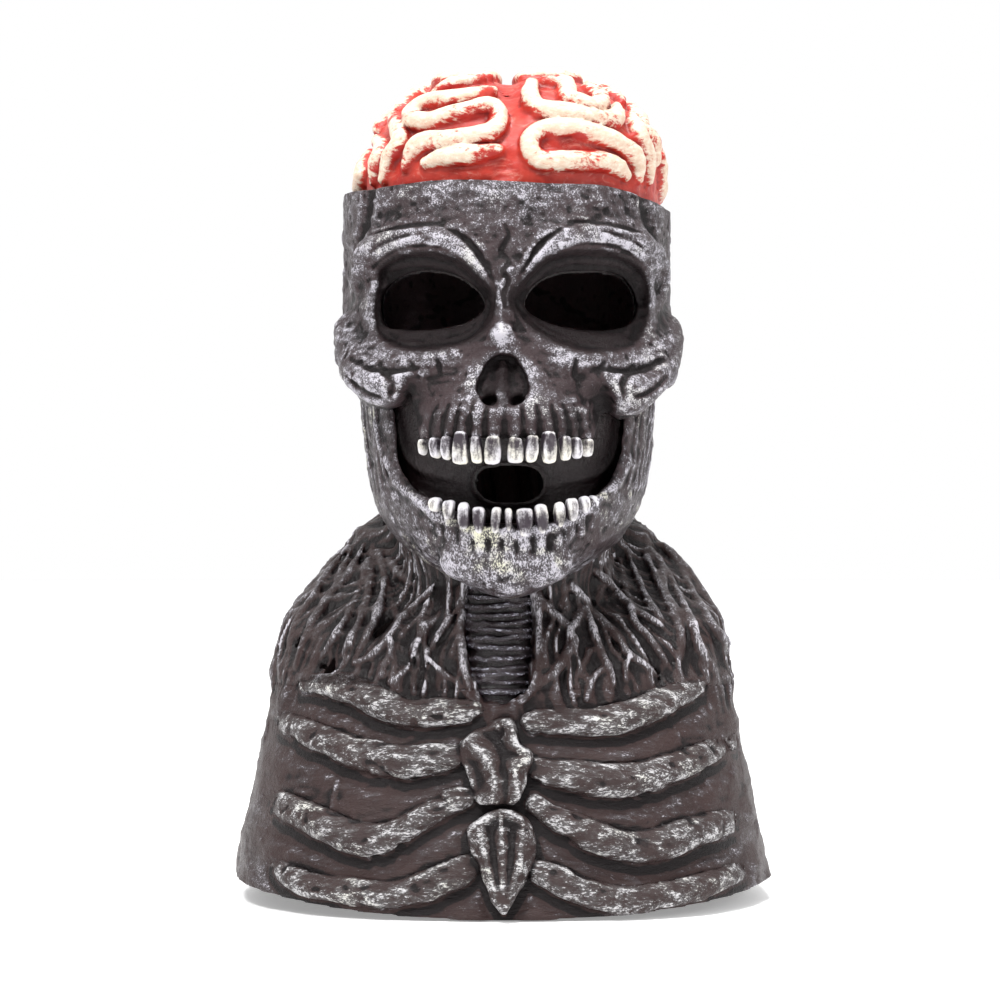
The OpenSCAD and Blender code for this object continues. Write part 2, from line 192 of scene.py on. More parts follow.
class Clay:
    """A block of the field between two corners, with tools that add to it and carve it."""

    def __init__(self, low, high, step):
        self.low = np.array(low, float)
        self.step = step
        count = [int(math.ceil((h - l) / step)) + 1 for l, h in zip(low, high)]
        self.axes = [self.low[i] + step * np.arange(count[i]) for i in range(3)]
        self.f = np.full(count, 50, np.float32)

    def grid(self, window=(slice(None),) * 3):
        x, y, z = (a[s] for a, s in zip(self.axes, window))
        return x[:, None, None], y[None, :, None], z[None, None, :]

    def window(self, low, high):
        out = []
        for i in range(3):
            a = int(math.floor((low[i] - self.low[i]) / self.step))
            b = int(math.ceil((high[i] - self.low[i]) / self.step)) + 1
            out.append(slice(max(a, 0), max(b, 0)))
        return tuple(out)

    def section(self, table, n, centred=False):
        """Distance from a loft of rounded sections."""
        x, y, z = self.grid()
        half, front, back, *shift = (c[None, None, :] for c in across(table, z).T)
        x = x - (shift[0] if shift else 0)
        if centred:
            v = np.abs(y - (back - front) / 2) / ((front + back) / 2)
        else:
            v = np.abs(y) / np.where(y < 0, front, back)
        r = (np.abs(x / half)**n + v**n)**(1 / n)
        f = ((r - 1) * half).astype(np.float32)
        slope = np.sqrt(sum(g * g for g in np.gradient(f, self.step)))
        return f / np.clip(slope, 0.3, 4)

    def outline_from_front(self, outline, window=(slice(None),) * 3):
        """Distance in x and z from an outline drawn as seen from the front."""
        x, _, z = self.grid(window)
        return outline_distance(outline, x[:, 0, :], z[0, :, :])[:, None, :]

    def outline_from_side(self, outline):
        """Distance in y and z from an outline drawn as seen from the side."""
        _, y, z = self.grid()
        return outline_distance(outline, y[0, :, :], z[0, :, :])[None, :, :]

    def tube_distance(self, path, radius, window, steps=5):
        """Distance from a round bar along a path; radius is one value or one per point."""
        p = np.array(path, float)
        r = np.broadcast_to(np.array(radius, float), (len(p),))
        p = curve(np.column_stack([p, r]), steps)
        x, y, z = self.grid(window)
        d = np.full([s for s in np.broadcast(x, y, z).shape], 40, np.float32)
        reach = float(p[:, 3].max()) + 8
        for a, b in zip(p[:-1], p[1:]):
            near = self.window(np.minimum(a, b)[:3] - reach, np.maximum(a, b)[:3] + reach)
            near = tuple(slice(max(s.start - w.start, 0), max(s.stop - w.start, 0))
                         for s, w in zip(near, window))
            sx, sy, sz = x[near[0]], y[:, near[1]], z[:, :, near[2]]
            ab = b[:3] - a[:3]
            t = ((sx - a[0]) * ab[0] + (sy - a[1]) * ab[1] + (sz - a[2]) * ab[2]) / max(ab @ ab, 1e-6)
            t = np.clip(t, 0, 1)
            gap = np.sqrt((sx - a[0] - t * ab[0])**2 + (sy - a[1] - t * ab[1])**2
                          + (sz - a[2] - t * ab[2])**2)
            d[near] = np.minimum(d[near], gap - (a[3] + t * (b[3] - a[3])))
        return d

    def around(self, path, reach):
        p = np.array(path, float)[:, :3]
        return self.window(p.min(axis=0) - reach, p.max(axis=0) + reach)

    def add_tube(self, path, radius, blend):
        w = self.around(path, np.max(radius) + blend + 4)
        self.f[w] = smin(self.f[w], self.tube_distance(path, radius, w), blend)

    def cut_tube(self, path, radius, blend):
        w = self.around(path, np.max(radius) + blend + 4)
        self.f[w] = smax(self.f[w], -self.tube_distance(path, radius, w), blend)

    def ball_distance(self, centre, radii, window):
        q = [(g - c) for g, c in zip(self.grid(window), centre)]
        k0 = np.sqrt(sum((a / r)**2 for a, r in zip(q, radii)))
        k1 = np.sqrt(sum((a / r**2)**2 for a, r in zip(q, radii)))
        return k0 * (k0 - 1) / np.maximum(k1, 1e-6)

    def add_ball(self, centre, radii, blend):
        w = self.around([centre], max(radii) + blend + 4)
        self.f[w] = smin(self.f[w], self.ball_distance(centre, radii, w), blend)

    def cut_ball(self, centre, radii, blend):
        w = self.around([centre], max(radii) + blend + 4)
        self.f[w] = smax(self.f[w], -self.ball_distance(centre, radii, w), blend)

    def at(self, points, field=None):
        """The field at points, by linear interpolation."""
        f = self.f if field is None else field
        q = (np.asarray(points, float) - self.low) / self.step
        i = np.clip(np.floor(q).astype(int), 0, np.array(f.shape) - 2)
        t = np.clip(q - i, 0, 1)
        total = 0
        for c in np.ndindex(2, 2, 2):
            weight = np.prod(np.where(c, t, 1 - t), axis=1)
            total = total + weight * f[tuple((i + c).T)]
        return total

    def front(self, x, z, out=0.0):
        """The point of the surface at x, z as seen from the front, moved out by out."""
        i = int(round((x - self.low[0]) / self.step))
        k = int(round((z - self.low[2]) / self.step))
        column = self.f[np.clip(i, 0, self.f.shape[0] - 1), :, np.clip(k, 0, self.f.shape[2] - 1)]
        inside = np.nonzero(column < 0)[0]
        if len(inside) == 0:
            return self.front(x * 0.985, z, out) if abs(x) > 1 else (x, self.axes[1][len(column) // 2], z)
        j = max(inside[0], 1)
        part = column[j - 1] / (column[j - 1] - column[j])
        return (x, self.axes[1][j - 1] + part * self.step - out, z)

    def skin(self, window):
        """Depth of the surface seen from the front over a window, as a map of x and z."""
        part = self.f[window]
        solid = part < 0
        j = np.maximum(np.argmax(solid, axis=1), 1)[:, None, :]
        before = np.take_along_axis(part, j - 1, 1)[:, 0]
        after = np.take_along_axis(part, j, 1)[:, 0]
        y = self.axes[1][window[1]][j[:, 0] - 1] + self.step * before / (before - after)
        return np.where(solid.any(axis=1), y, self.axes[1][window[1]][-1])

    def fronts(self, points, out=0.0):
        return [self.front(p[0], p[1], out) for p in points]

    def snap(self, points, out=0.0):
        """Points moved onto the surface along the field's slope, then out by out."""
        p = np.array(points, float)
        eps = self.step
        for goal in (0, 0, 0, out):
            here = self.at(p)
            slope = np.stack([self.at(p + eps * e) - self.at(p - eps * e) for e in np.eye(3)], axis=1)
            slope /= np.maximum(np.linalg.norm(slope, axis=1, keepdims=True), 1e-6)
            p = p - slope * (here - goal)[:, None]
        return [tuple(q) for q in p]


# ---------------------------------------------------------------- from field to Blender mesh

def piece_from(name, clay, field, tones=None, window=(slice(None),) * 3):
    """Meshes a field and stores the tones, each a field, as attributes of its points."""
    part = np.ascontiguousarray(field)
    band = 4 * clay.step
    grid = openvdb.FloatGrid(band)
    grid.copyFromArray(np.clip(np.pad(part, 1, constant_values=band), -band, band).astype(np.float32))
    verts, _, quads = grid.convertToPolygons(isovalue=0.0, adaptivity=0.0)
    corner = np.array([a[s][0] for a, s in zip(clay.axes, window)])
    verts = (verts - 1) * clay.step + corner
    mesh = bpy.data.meshes.new(name)
    mesh.vertices.add(len(verts))
    mesh.vertices.foreach_set("co", (verts * MM).astype(np.float32).ravel())
    faces = quads[:, ::-1]
    a, b, c = (verts[faces[:, i]] for i in (0, 1, 2))
    if np.einsum("ij,ij->i", a, np.cross(b, c)).sum() < 0:
        faces = faces[:, ::-1]
    mesh.loops.add(faces.size)
    mesh.loops.foreach_set("vertex_index", faces.ravel().astype(np.int32))
    mesh.polygons.add(len(faces))
    mesh.polygons.foreach_set("loop_start", (np.arange(len(faces)) * 4).astype(np.int32))
    mesh.polygons.foreach_set("loop_total", np.full(len(faces), 4, np.int32))
    mesh.update(calc_edges=True)
    mesh.validate()
    mesh.polygons.foreach_set("use_smooth", np.ones(len(mesh.polygons), bool))
    for key, tone in (tones or {}).items():
        value = tone(verts) if callable(tone) else clay.at(verts, tone)
        layer = mesh.attributes.new(key, "FLOAT", "POINT")
        layer.data.foreach_set("value", np.asarray(value, np.float32))
    return put_in_scene(name, mesh)


def relief_tones(clay, outer):
    """How far each point stands out of its surroundings, finely and broadly."""
    fine = max(1, round(1.6 / clay.step))
    broad = max(2, round(5.0 / clay.step))
    return {"ridge": blurred(outer, fine) - outer, "broad": blurred(outer, broad) - outer,
            "depth": -outer}


def put_in_scene(name, data):
    """A new object in the scene's own collection."""
    thing = bpy.data.objects.new(name, data)
    bpy.context.scene.collection.objects.link(thing)
    return thing


def finish_piece(piece, body, slot, material, *nodes):
    """Gives a piece its material, the body it rides on and the CAD nodes it replaces; the slot is not used.
    """
    piece.data.materials.append(material)
    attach(piece, body)
    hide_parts(*nodes)


# ---------------------------------------------------------------- materials

def shader_tree(name):
    material = bpy.data.materials.new(name)
    material.use_nodes = True
    tree = material.node_tree
    return material, tree, tree.nodes["Principled BSDF"]


def wire(tree, kind, inputs=None, **settings):
    """A node with its inputs set to values or linked from sockets."""
    node = tree.nodes.new(kind)
    for key, value in settings.items():
        setattr(node, key, value)
    for key, value in (inputs or {}).items():
        socket = node.inputs[key]
        if isinstance(value, bpy.types.NodeSocket):
            tree.links.new(value, socket)
        else:
            socket.default_value = value
    return node


def math_node(tree, operation, a, b):
    return wire(tree, "ShaderNodeMath", {0: a, 1: b}, operation=operation).outputs[0]


def add(tree, a, b):
    return math_node(tree, "ADD", a, b)


def scaled(tree, value, factor):
    return math_node(tree, "MULTIPLY", value, factor)


def off_centre(tree, value, factor):
    """A noise value about its middle, times a factor."""
    return scaled(tree, math_node(tree, "SUBTRACT", value, 0.5), factor)


def ramp(tree, value, low, high, to_low=0.0, to_high=1.0):
    node = wire(tree, "ShaderNodeMapRange",
                {"Value": value, "From Min": low, "From Max": high, "To Min": to_low, "To Max": to_high},
                interpolation_type="SMOOTHSTEP")
    return node.outputs["Result"]


def mix_colour(tree, amount, a, b):
    node = wire(tree, "ShaderNodeMix", {"Factor": amount}, data_type="RGBA")
    for index, value in ((6, a), (7, b)):
        if isinstance(value, bpy.types.NodeSocket):
            tree.links.new(value, node.inputs[index])
        else:
            node.inputs[index].default_value = (*value, 1)
    return node.outputs[2]


def noise(tree, scale, detail=4.0, rough=0.6, stretch=(1, 1, 1), distortion=0.0):
    """Noise in the object's own space; scale is in waves per metre."""
    place = tree.nodes.get("place") or wire(tree, "ShaderNodeTexCoord")
    place.name = "place"
    mapped = wire(tree, "ShaderNodeMapping", {"Vector": place.outputs["Object"], "Scale": stretch})
    node = wire(tree, "ShaderNodeTexNoise",
                {"Vector": mapped.outputs["Vector"], "Scale": scale, "Detail": detail,
                 "Roughness": rough, "Distortion": distortion})
    return node.outputs["Fac"]


def roughen(tree, shader, height, strength, distance):
    """Fine grain on the surface, over the shape that is in the mesh itself."""
    bump = wire(tree, "ShaderNodeBump", {"Height": height, "Strength": strength, "Distance": distance})
    tree.links.new(bump.outputs["Normal"], shader.inputs["Normal"])


def attribute(tree, name):
    return wire(tree, "ShaderNodeAttribute", attribute_name=name).outputs["Fac"]


def drybrushed(name, base, shade_and_patch, light, accent, cover, gain=1.0, stretch=(1, 1, 1), gloss=0.42,
               accent_amount=0.0, grit=1.0, sheen=0.22, drag=1.3, swell=0.22):
    """Dark latex with a haze of paler paint and brighter flecks dragged over its high places.

    Haze and flecks follow the sculpt's own relief and the same noise that roughens the surface. Creases, and
    places whose paint value is very low, are darkened towards the shade colour as painted shade; random
    patches darken a little too."""
    material, tree, shader = shader_tree(name)
    ridge = attribute(tree, "ridge")
    broad = attribute(tree, "broad")
    paint = attribute(tree, "paint")
    fine = noise(tree, 1300, 3, 0.7, stretch)
    middle = noise(tree, 520, 4, 0.7, stretch, 0.3)
    streak = noise(tree, 170, 5, 0.72, stretch, 0.5)
    patch = noise(tree, 36, 3, 0.55)
    level = add(tree, scaled(tree, ridge, 2.2 * gain), scaled(tree, broad, swell))
    level = add(tree, level, paint)
    level = add(tree, level, off_centre(tree, middle, 1.7 * grit))
    level = add(tree, level, off_centre(tree, streak, drag))
    level = add(tree, level, off_centre(tree, patch, 0.9))
    outside = ramp(tree, attribute(tree, "depth"), 1.0, 2.2, 1.0, 0.0)
    haze = math_node(tree, "MULTIPLY", ramp(tree, level, -0.25 - cover, 0.9 - cover, 0, 0.65), outside)
    fleck = ramp(tree, add(tree, level, off_centre(tree, fine, 4.2 * grit)), 0.50 - cover, 1.25 - cover)
    fleck = math_node(tree, "MULTIPLY", fleck, outside)
    # painted shade: creases and hollows in the relief are darkened towards the near-black shade colour
    crease_shade = ramp(tree, add(tree, ridge, scaled(tree, broad, 0.3)), 0.02, -0.22)
    # painted shade: where the paint value is very low (eye sockets, nose hole, crack, grooves, the liner) the
    # latex is darkened towards near black, past its bare base colour
    recess_shade = ramp(tree, paint, -0.35, -1.1, 0, 0.75)
    ground = mix_colour(tree, math_node(tree, "MAXIMUM", crease_shade, recess_shade), base, shade_and_patch)
    ground = mix_colour(tree, ramp(tree, patch, 0.4, 0.7, 0, 0.3), ground, shade_and_patch)
    tint = ramp(tree, noise(tree, 45, 3, 0.6), 0.5, 0.68, 0, accent_amount)
    brush = mix_colour(tree, tint, light, accent)
    ground = mix_colour(tree, haze, ground, tuple(0.18 * c + 0.006 for c in light))
    tree.links.new(mix_colour(tree, fleck, ground, brush), shader.inputs["Base Color"])
    tree.links.new(ramp(tree, fleck, 0, 1, gloss, min(gloss + 0.25, 1)), shader.inputs["Roughness"])
    height = add(tree, scaled(tree, fine, 0.35), add(tree, middle, streak))
    roughen(tree, shader, height, 0.9, 0.0012)
    shader.inputs["Specular IOR Level"].default_value = sheen
    return material


def fold_painted(name):
    """Blood-red latex with cream paint on the crests of the folds, and darker red in the creases between them
    as painted shade.
    """
    material, tree, shader = shader_tree(name)
    ridge = attribute(tree, "ridge")
    fine = noise(tree, 420, 5, 0.75, (0.5, 1, 1))
    streak = noise(tree, 130, 6, 0.75, (0.45, 1, 1), 0.8)
    patch = noise(tree, 60, 4, 0.6)
    level = add(tree, attribute(tree, "fold"), off_centre(tree, fine, 1.1))
    level = add(tree, level, off_centre(tree, streak, 2.4))
    level = add(tree, level, off_centre(tree, patch, 1.2))
    mask = ramp(tree, level, 0.24, 0.60)
    red = mix_colour(tree, ramp(tree, patch, 0.35, 0.65), (0.36, 0.018, 0.012), (0.50, 0.045, 0.028))
    # painted shade: darker red in the creases between the folds
    red = mix_colour(tree, ramp(tree, ridge, 0.05, -0.4), red, (0.13, 0.005, 0.004))
    haze = ramp(tree, streak, 0.52, 0.72, 0, 0.6)
    red = mix_colour(tree, haze, red, (0.62, 0.26, 0.20))
    cream = mix_colour(tree, ramp(tree, fine, 0.4, 0.7), (0.60, 0.44, 0.33), (0.72, 0.65, 0.54))
    tree.links.new(mix_colour(tree, mask, red, cream), shader.inputs["Base Color"])
    roughen(tree, shader, streak, 0.6, 0.0006)
    shader.inputs["Roughness"].default_value = 0.42
    shader.inputs["Specular IOR Level"].default_value = 0.3
    return material


# ---------------------------------------------------------------- the brain

BRAIN_FRONT = [
    [(-8, 108), (-25, 103), (-40, 103), (-49, 98), (-49, 93), (-41, 91), (-25, 95), (-10, 98), (-5, 94),
     (-5, 88), (-10, 83), (-25, 80), (-41, 80), (-48, 76), (-53, 67)],
    [(-5, 74), (-16, 72), (-30, 71), (-42, 68)],
    [(-14, 116), (-28, 112), (-38, 108)],
    [(-60, 97), (-57, 88), (-56, 80), (-61, 73), (-64, 62)],
    [(-69, 85), (-66, 78), (-68, 71), (-70, 62)],
    [(-77, 74), (-77, 68), (-78, 60)],
    [(13, 112), (12, 105), (15, 98), (23, 95), (37, 94), (49, 92), (57, 94), (58, 101)],
    [(20, 114), (31, 112), (32, 104), (38, 101), (46, 99), (49, 105), (43, 112)],
    [(62, 63), (55, 68), (37, 69), (20, 68), (13, 72), (12, 79), (18, 85), (32, 86), (49, 83), (61, 78),
     (68, 72), (69, 62)],
    [(66, 97), (68, 89), (70, 83), (74, 74), (75, 62)],
    [(72, 91), (77, 84), (79, 74)],
]


def brain_paths(clay):
    """Folds seen from the front, then folds laid over the crown and down the back."""
    paths = [clay.fronts(p) for p in BRAIN_FRONT]
    for side in (-1, 1):
        crown = [
            [(10, -30, 118), (30, -25, 117), (34, -12, 117), (12, -8, 122), (10, 6, 122), (34, 4, 118),
             (52, -8, 112), (60, -22, 104)],
            [(10, 20, 120), (30, 20, 118), (50, 14, 113), (66, 0, 102), (72, -12, 94)],
            [(10, 34, 115), (28, 36, 114), (46, 30, 112), (58, 36, 104), (46, 50, 102), (28, 50, 106),
             (10, 50, 107), (10, 62, 98), (28, 66, 94), (46, 62, 94)],
            [(72, 10, 95), (70, 26, 92), (60, 48, 92), (58, 64, 82), (66, 58, 74), (76, 40, 78),
             (78, 22, 80)],
            [(10, 74, 90), (26, 78, 84), (42, 74, 82), (46, 78, 72), (30, 84, 72), (10, 84, 76)],
            [(81, 2, 84), (82, 14, 72), (80, 34, 66), (70, 56, 64), (52, 74, 62)],
            [(10, 90, 66), (28, 90, 60), (44, 84, 58)],
            [(80, -14, 78), (83, -4, 66), (83, 14, 58)],
        ]
        for path in crown:
            placed = [(side * x, y + (3 if side > 0 else 0), z) for x, y, z in path]
            paths.append(clay.snap(curve(placed, 2)))
    return paths


def make_brain():
    """The brain dome: long rounded folds laid over two halves, hollow and open below."""
    clay = Clay((-92, -92, 40), (94, 106, 130), 1.1)
    clay.f = clay.section(BRAIN, SQUARE)
    z = clay.grid()[2]
    clay.f = smax(clay.f, z - 124, 6)
    groove = [(-1, -86, 66), (-1, -84, 80), (-1, -74, 95), (0, -56, 110), (0, -30, 121), (0, 0, 126),
              (0, 30, 122), (0, 60, 108), (0, 82, 90), (0, 94, 66)]
    clay.cut_tube(groove, [3, 4, 5, 6, 7, 7, 7, 6, 5, 3], 8)
    base = clay.f.copy()
    folds = np.full(clay.f.shape, 40, np.float32)
    for path in brain_paths(clay):
        inner = [tuple(p) for p in path]
        w = clay.around(inner, 15)
        size = tapered(inner, 5.0, 6.9, 4.6)
        folds[w] = np.minimum(folds[w], clay.tube_distance(inner, size, w, steps=3))
    clay.f = smin(base + 1.2, folds + 1.5, 2.2)
    clay.f += 0.3 * mottle(clay, (9, 9, 9), 41) - 0.25 * (np.abs(mottle(clay, (9, 9, 4), 42)) - 0.7)
    outer = smax(clay.f, -(z - 47), 2)
    hollow = smax(outer, -(blurred(base, 3) + SKIN), 1)
    tones = relief_tones(clay, outer)
    tones["fold"] = np.clip((base - folds) / 6, -0.5, 1) - 0.22
    piece = piece_from("brain", clay, hollow, tones)
    finish_piece(piece, "mask", "brain_latex", fold_painted("brain latex"), "brain_cap")


# ---------------------------------------------------------------- the skull

ORBITS = [
    [(-68, 7), (-66, 15), (-56, 20), (-40, 21), (-25, 17), (-14, 8), (-7, -2), (-8, -14), (-15, -23),
     (-27, -28), (-44, -30), (-58, -28), (-67, -21), (-70, -8)],
    [(2, -4), (9, 8), (21, 18), (39, 22), (57, 21), (70, 15), (75, 5), (74, -12), (70, -23), (61, -29),
     (45, -31), (27, -27), (13, -19), (5, -11)],
]
EYES = [
    [(-64, -15), (-65, 1), (-54, 10), (-39, 12), (-24, 8), (-13, -1), (-12, -9), (-22, -16), (-38, -18.5),
     (-53, -18)],
    [(9, -7), (13, 3), (25, 10), (44, 12), (60, 10), (68, -2), (65, -14), (50, -18.5), (32, -18), (18, -14)],
]
BROWS = [[(-77, 8), (-73, 19), (-61, 26), (-40, 27), (-24, 22), (-12, 12), (-8, 3)],
         [(80, 4), (78, 17), (66, 26), (45, 29), (26, 25), (13, 15), (6, 4)]]
CHEEK_RIDGES = [[(-84, -17), (-80, -24), (-71, -31), (-54, -35), (-40, -36), (-26, -33)],
                [(86, -17), (82, -25), (73, -33), (58, -39), (40, -37), (26, -33), (15, -28)]]
APERTURE = [(-2, -31), (-9, -34), (-14, -42), (-16, -51), (-12, -58), (-3, -60), (6, -59), (12, -52),
            (10, -42), (5, -34)]
FACE_EDGE = [(-130, 90), (-130, -46), (-90, -46), (-82, -50), (-74, -58), (-62, -61), (-53, -58),
             (-50, -52), (-48, -62), (-45, -76), (45, -76), (48, -64), (52, -62), (58, -66), (68, -64),
             (76, -57), (84, -49), (92, -46), (130, -46), (130, 90)]
UPPER_TEETH = [(-42.5, 3.6, -75.5, -84), (-36.5, 4.4, -75, -85.5), (-30, 5.4, -74.5, -86.5),
               (-23, 7.4, -72, -89), (-15.7, 5.4, -74.5, -88.5), (-7, 8, -74.5, -89),
               (4, 7.6, -75, -88.5), (12.6, 6.4, -74, -88), (21, 7, -72, -88.5), (29, 5.4, -74.5, -87),
               (34.8, 4.4, -75, -86), (40.8, 4.8, -75.5, -85)]
LOWER_TEETH = [(-36, 6.4, -105.5, -113), (-29.5, 5.6, -107, -117), (-21.3, 6.4, -108, -122),
               (-13.8, 6, -110.5, -124), (-6, 5, -110.5, -124), (0.8, 3.6, -111, -123),
               (8.6, 8, -111, -125.5), (17.6, 6.8, -109, -124), (26.3, 5.2, -108, -121),
               (32.4, 6, -106, -118), (38.6, 5.2, -105, -114), (44, 4.2, -104.5, -111)]


def make_maxilla(clay):
    """The upper jaw's arch, with a low ridge over the root of each tooth."""
    w = clay.window((-62, -125, -84), (62, -40, -22))
    x, y, z = clay.grid(w)
    half, front, _ = (c[None, None, :] for c in across(
        [(-84, 43, 46, 0), (-74, 44.5, 48, 0), (-62, 47, 49, 0), (-50, 46, 43, 0), (-38, 38, 37, 0),
         (-22, 26, 30, 0)], z).T)
    r = (np.abs((x + 1) / half)**2.3 + np.abs((y + 61) / front)**2.3)**(1 / 2.3)
    d = ((r - 1) * 44).astype(np.float32)
    clay.f[w] = smin(clay.f[w], d, 7)
    for tooth_x, wide, top, _ in UPPER_TEETH:
        root = clay.fronts([(tooth_x * 0.95, -62), (tooth_x, top)], -1.6)
        clay.add_tube(root, [1.6, wide * 0.52], 1.8)
    for a, b in zip(UPPER_TEETH[:-1], UPPER_TEETH[1:]):
        mid = (a[0] + b[0]) / 2
        clay.cut_tube(clay.fronts([(mid * 0.9, -58), (mid, -68), (mid, -77)], 0.4), [0.7, 1.5, 2.1], 1.2)


def make_cheeks(clay):
    """The cheek bones: an arch back to the temple over a heavy fold that hangs beside the mouth."""
    clay.add_tube(clay.fronts(CHEEK_RIDGES[0], -4), [8, 9, 8, 6, 5, 4], 7)
    clay.add_tube(clay.fronts(CHEEK_RIDGES[1], -4), [8, 9, 8, 7, 5, 4, 3], 7)
    clay.add_tube([(-77, -50, -40), (-72, -64, -45), (-62, -76, -48), (-50, -84, -47)], [9, 10, 10, 7], 8)
    clay.add_tube([(79, -50, -42), (74, -63, -49), (62, -76, -52), (50, -85, -49)], [9, 11, 11, 7], 8)
    clay.add_tube([(-83, -16, -24), (-82, -38, -31), (-76, -55, -38)], [7, 8.5, 8], 7)
    clay.add_tube([(85, -16, -24), (84, -38, -33), (77, -55, -40)], [7, 8.5, 8], 7)
    for side in (-1, 1):
        creases = [[(82, -33), (72, -38), (58, -40), (46, -39)], [(84, -42), (76, -50), (66, -54)],
                   [(66, -37), (60, -46), (60, -54)], [(50, -36), (47, -44), (50, -52)],
                   [(36, -35), (34, -44), (38, -54)], [(24, -34), (26, -46), (30, -58)]]
        for line in creases:
            clay.cut_tube(clay.fronts([(side * a, b) for a, b in line], 0.2), tapered(line, 1, 2.1, 1), 2)
        clay.cut_tube(clay.fronts([(side * 50, -46), (side * 49, -62)], 3), [4, 7], 5)


def make_brows(clay):
    """Brow ridges over the sockets, the bridge of the nose and the furrows round them."""
    for line in BROWS:
        clay.add_tube(clay.fronts(line, -4.5), [6, 7.5, 8, 8, 7.5, 5.5, 4], 7)
    clay.add_tube(clay.fronts([(-1, 10), (-2, 2), (-3, -12), (-3, -27)], 0), [4, 4, 4, 4.6], 6)
    clay.add_tube(clay.fronts([(-3, -22), (-11, -32), (-17, -44)], -1.5), [4, 4, 4], 4)
    clay.add_tube(clay.fronts([(-3, -22), (6, -31), (13, -44)], -1.5), [4, 4, 4], 4)
    furrows = [[(-34, 34), (-22, 27), (-11, 13), (-7, 2)], [(-26, 31), (-16, 22), (-9, 9)],
               [(34, 35), (22, 28), (10, 14), (5, 4)], [(27, 32), (16, 23), (8, 9)],
               [(-68, 32), (-50, 35), (-32, 35)], [(70, 32), (52, 36), (32, 36)],
               [(-72, 22), (-60, 28), (-44, 30)], [(74, 22), (62, 29), (46, 32)],
               [(-6, 2), (-9, -10), (-13, -22)], [(3, 2), (5, -10), (9, -22)],
               [(-70, 14), (-56, 22), (-40, 23), (-27, 19)], [(73, 14), (58, 23), (42, 24), (28, 20)]]
    for line in furrows:
        clay.cut_tube(clay.fronts(line, 0.1), tapered(line, 0.6, 1.5, 0.6), 1.6)


def make_orbits(clay):
    """Sockets that funnel in to the eye holes, with folds of lid along the floor."""
    for corners in ORBITS:
        rim = loop(corners)
        w = clay.window((rim[:, 0].min() - 8, -130, rim[:, 1].min() - 8),
                        (rim[:, 0].max() + 8, -20, rim[:, 1].max() + 8))
        skin_y = blurred(clay.skin(w)[:, :, None].astype(np.float32), 5)[:, :, 0]
        inward = clay.grid(w)[1] - skin_y[:, None, :]
        funnel = smax(clay.outline_from_front(rim, w) + 0.35 * inward, inward - 12, 5)
        clay.f[w] = smax(clay.f[w], -funnel, 2)
        centre = rim.mean(axis=0)
        low = [p for p in rim if p[1] < -4][::2]
        high = [p for p in rim if p[1] > 4][::2]
        for line, lift, size in ((low, 3.5, 1.6), (low, 6.5, 1.8), (low, 9.0, 1.5), (high, 5.0, 1.5)):
            span = [tuple(np.array(p) + (centre - p) / np.linalg.norm(centre - p) * lift) for p in line]
            clay.add_tube(clay.fronts(span, -0.3), size, 1.8)


def make_nose(clay):
    """The open nose hole, with a ridge down its middle and two pits at its foot."""
    w = clay.window((-24, -130, -68), (22, -60, -24))
    inward = clay.grid(w)[1] - clay.skin(w)[:, None, :]
    pit = smax(clay.outline_from_front(loop(APERTURE), w) + 0.2 * inward, inward - 8, 3)
    clay.f[w] = smax(clay.f[w], -pit, 1.8)
    clay.add_tube(clay.fronts([(-2, -37), (-3, -46), (-3, -54), (-2, -62)], -0.5), [2.2, 3.4, 4, 3], 3)
    clay.add_tube(clay.fronts([(-9, -40), (-11, -50)], -1), [1.6, 3], 3)
    clay.add_tube(clay.fronts([(6, -42), (7, -50)], -1), [1.6, 3], 3)
    for centre in ((-9, -57), (6, -57)):
        clay.cut_ball(clay.front(*centre, -1), (4, 6, 3.6), 2)


CRACK = [(-1, 34), (1, 29), (-1, 25), (-3, 20), (1, 15), (-2, 10), (1, 5), (-2, -2), (-1, -8)]


def make_cracks(clay):
    """A zigzag crack down the forehead, with short twigs."""
    clay.cut_tube(clay.fronts(CRACK, 0.2), [0.6, 1.2, 1.5, 1.6, 1.5, 1.4, 1.3, 1.1, 0.7], 0.4)
    for twig in ([(-3, 18), (-6, 16)], [(1, 14), (5, 12)], [(-1, 8), (-5, 5)]):
        clay.cut_tube(clay.fronts(twig, 0.3), [0.9, 0.4], 0.8)


def weathered_bone(clay):
    """Shallow lumps, drag marks and pits, in mm to take off."""
    lumps = mottle(clay, (12, 12, 10), 21)
    drags = np.abs(mottle(clay, (9, 9, 4), 22))
    pits = np.clip(mottle(clay, (4, 4, 4), 24) - 1.1, 0, 1.5)
    return 0.28 * lumps - 0.28 * drags + 0.5 * pits + 0.07 * mottle(clay, (3, 3, 3), 25)


def sutures(clay):
    """Ragged joints between the bones of the back of the skull."""
    rng = np.random.default_rng(5)
    lines = [[(0, 105, 56), (0, 107, 40), (0, 108, 22)],
             [(0, 108, 22), (30, 104, 8), (55, 88, -8), (72, 66, -26)],
             [(0, 108, 22), (-30, 104, 8), (-55, 88, -8), (-72, 66, -26)]]
    for line in lines:
        p = curve(line, 9)
        p[:, [0, 2]] += rng.uniform(-1.8, 1.8, (len(p), 2))
        clay.cut_tube(clay.snap(p, 0.3), 1.2, 1.0)


def sculpt_skull(clay):
    """The whole head with its features, before it is hollowed and cut into castings."""
    clay.f = clay.section(HEAD, SQUARE)
    for side in (-1, 1):
        temple = clay.fronts([(side * 73, 58), (side * 75, 40), (side * 80, 22)], 1.5)
        clay.cut_tube(temple, [3, 4, 4], 6)
        clay.cut_ball((side * 98, -42, 10), (14, 30, 26), 14)
    make_brows(clay)
    make_cheeks(clay)
    make_maxilla(clay)
    make_orbits(clay)
    make_nose(clay)
    sutures(clay)
    clay.f += weathered_bone(clay)
    make_cracks(clay)


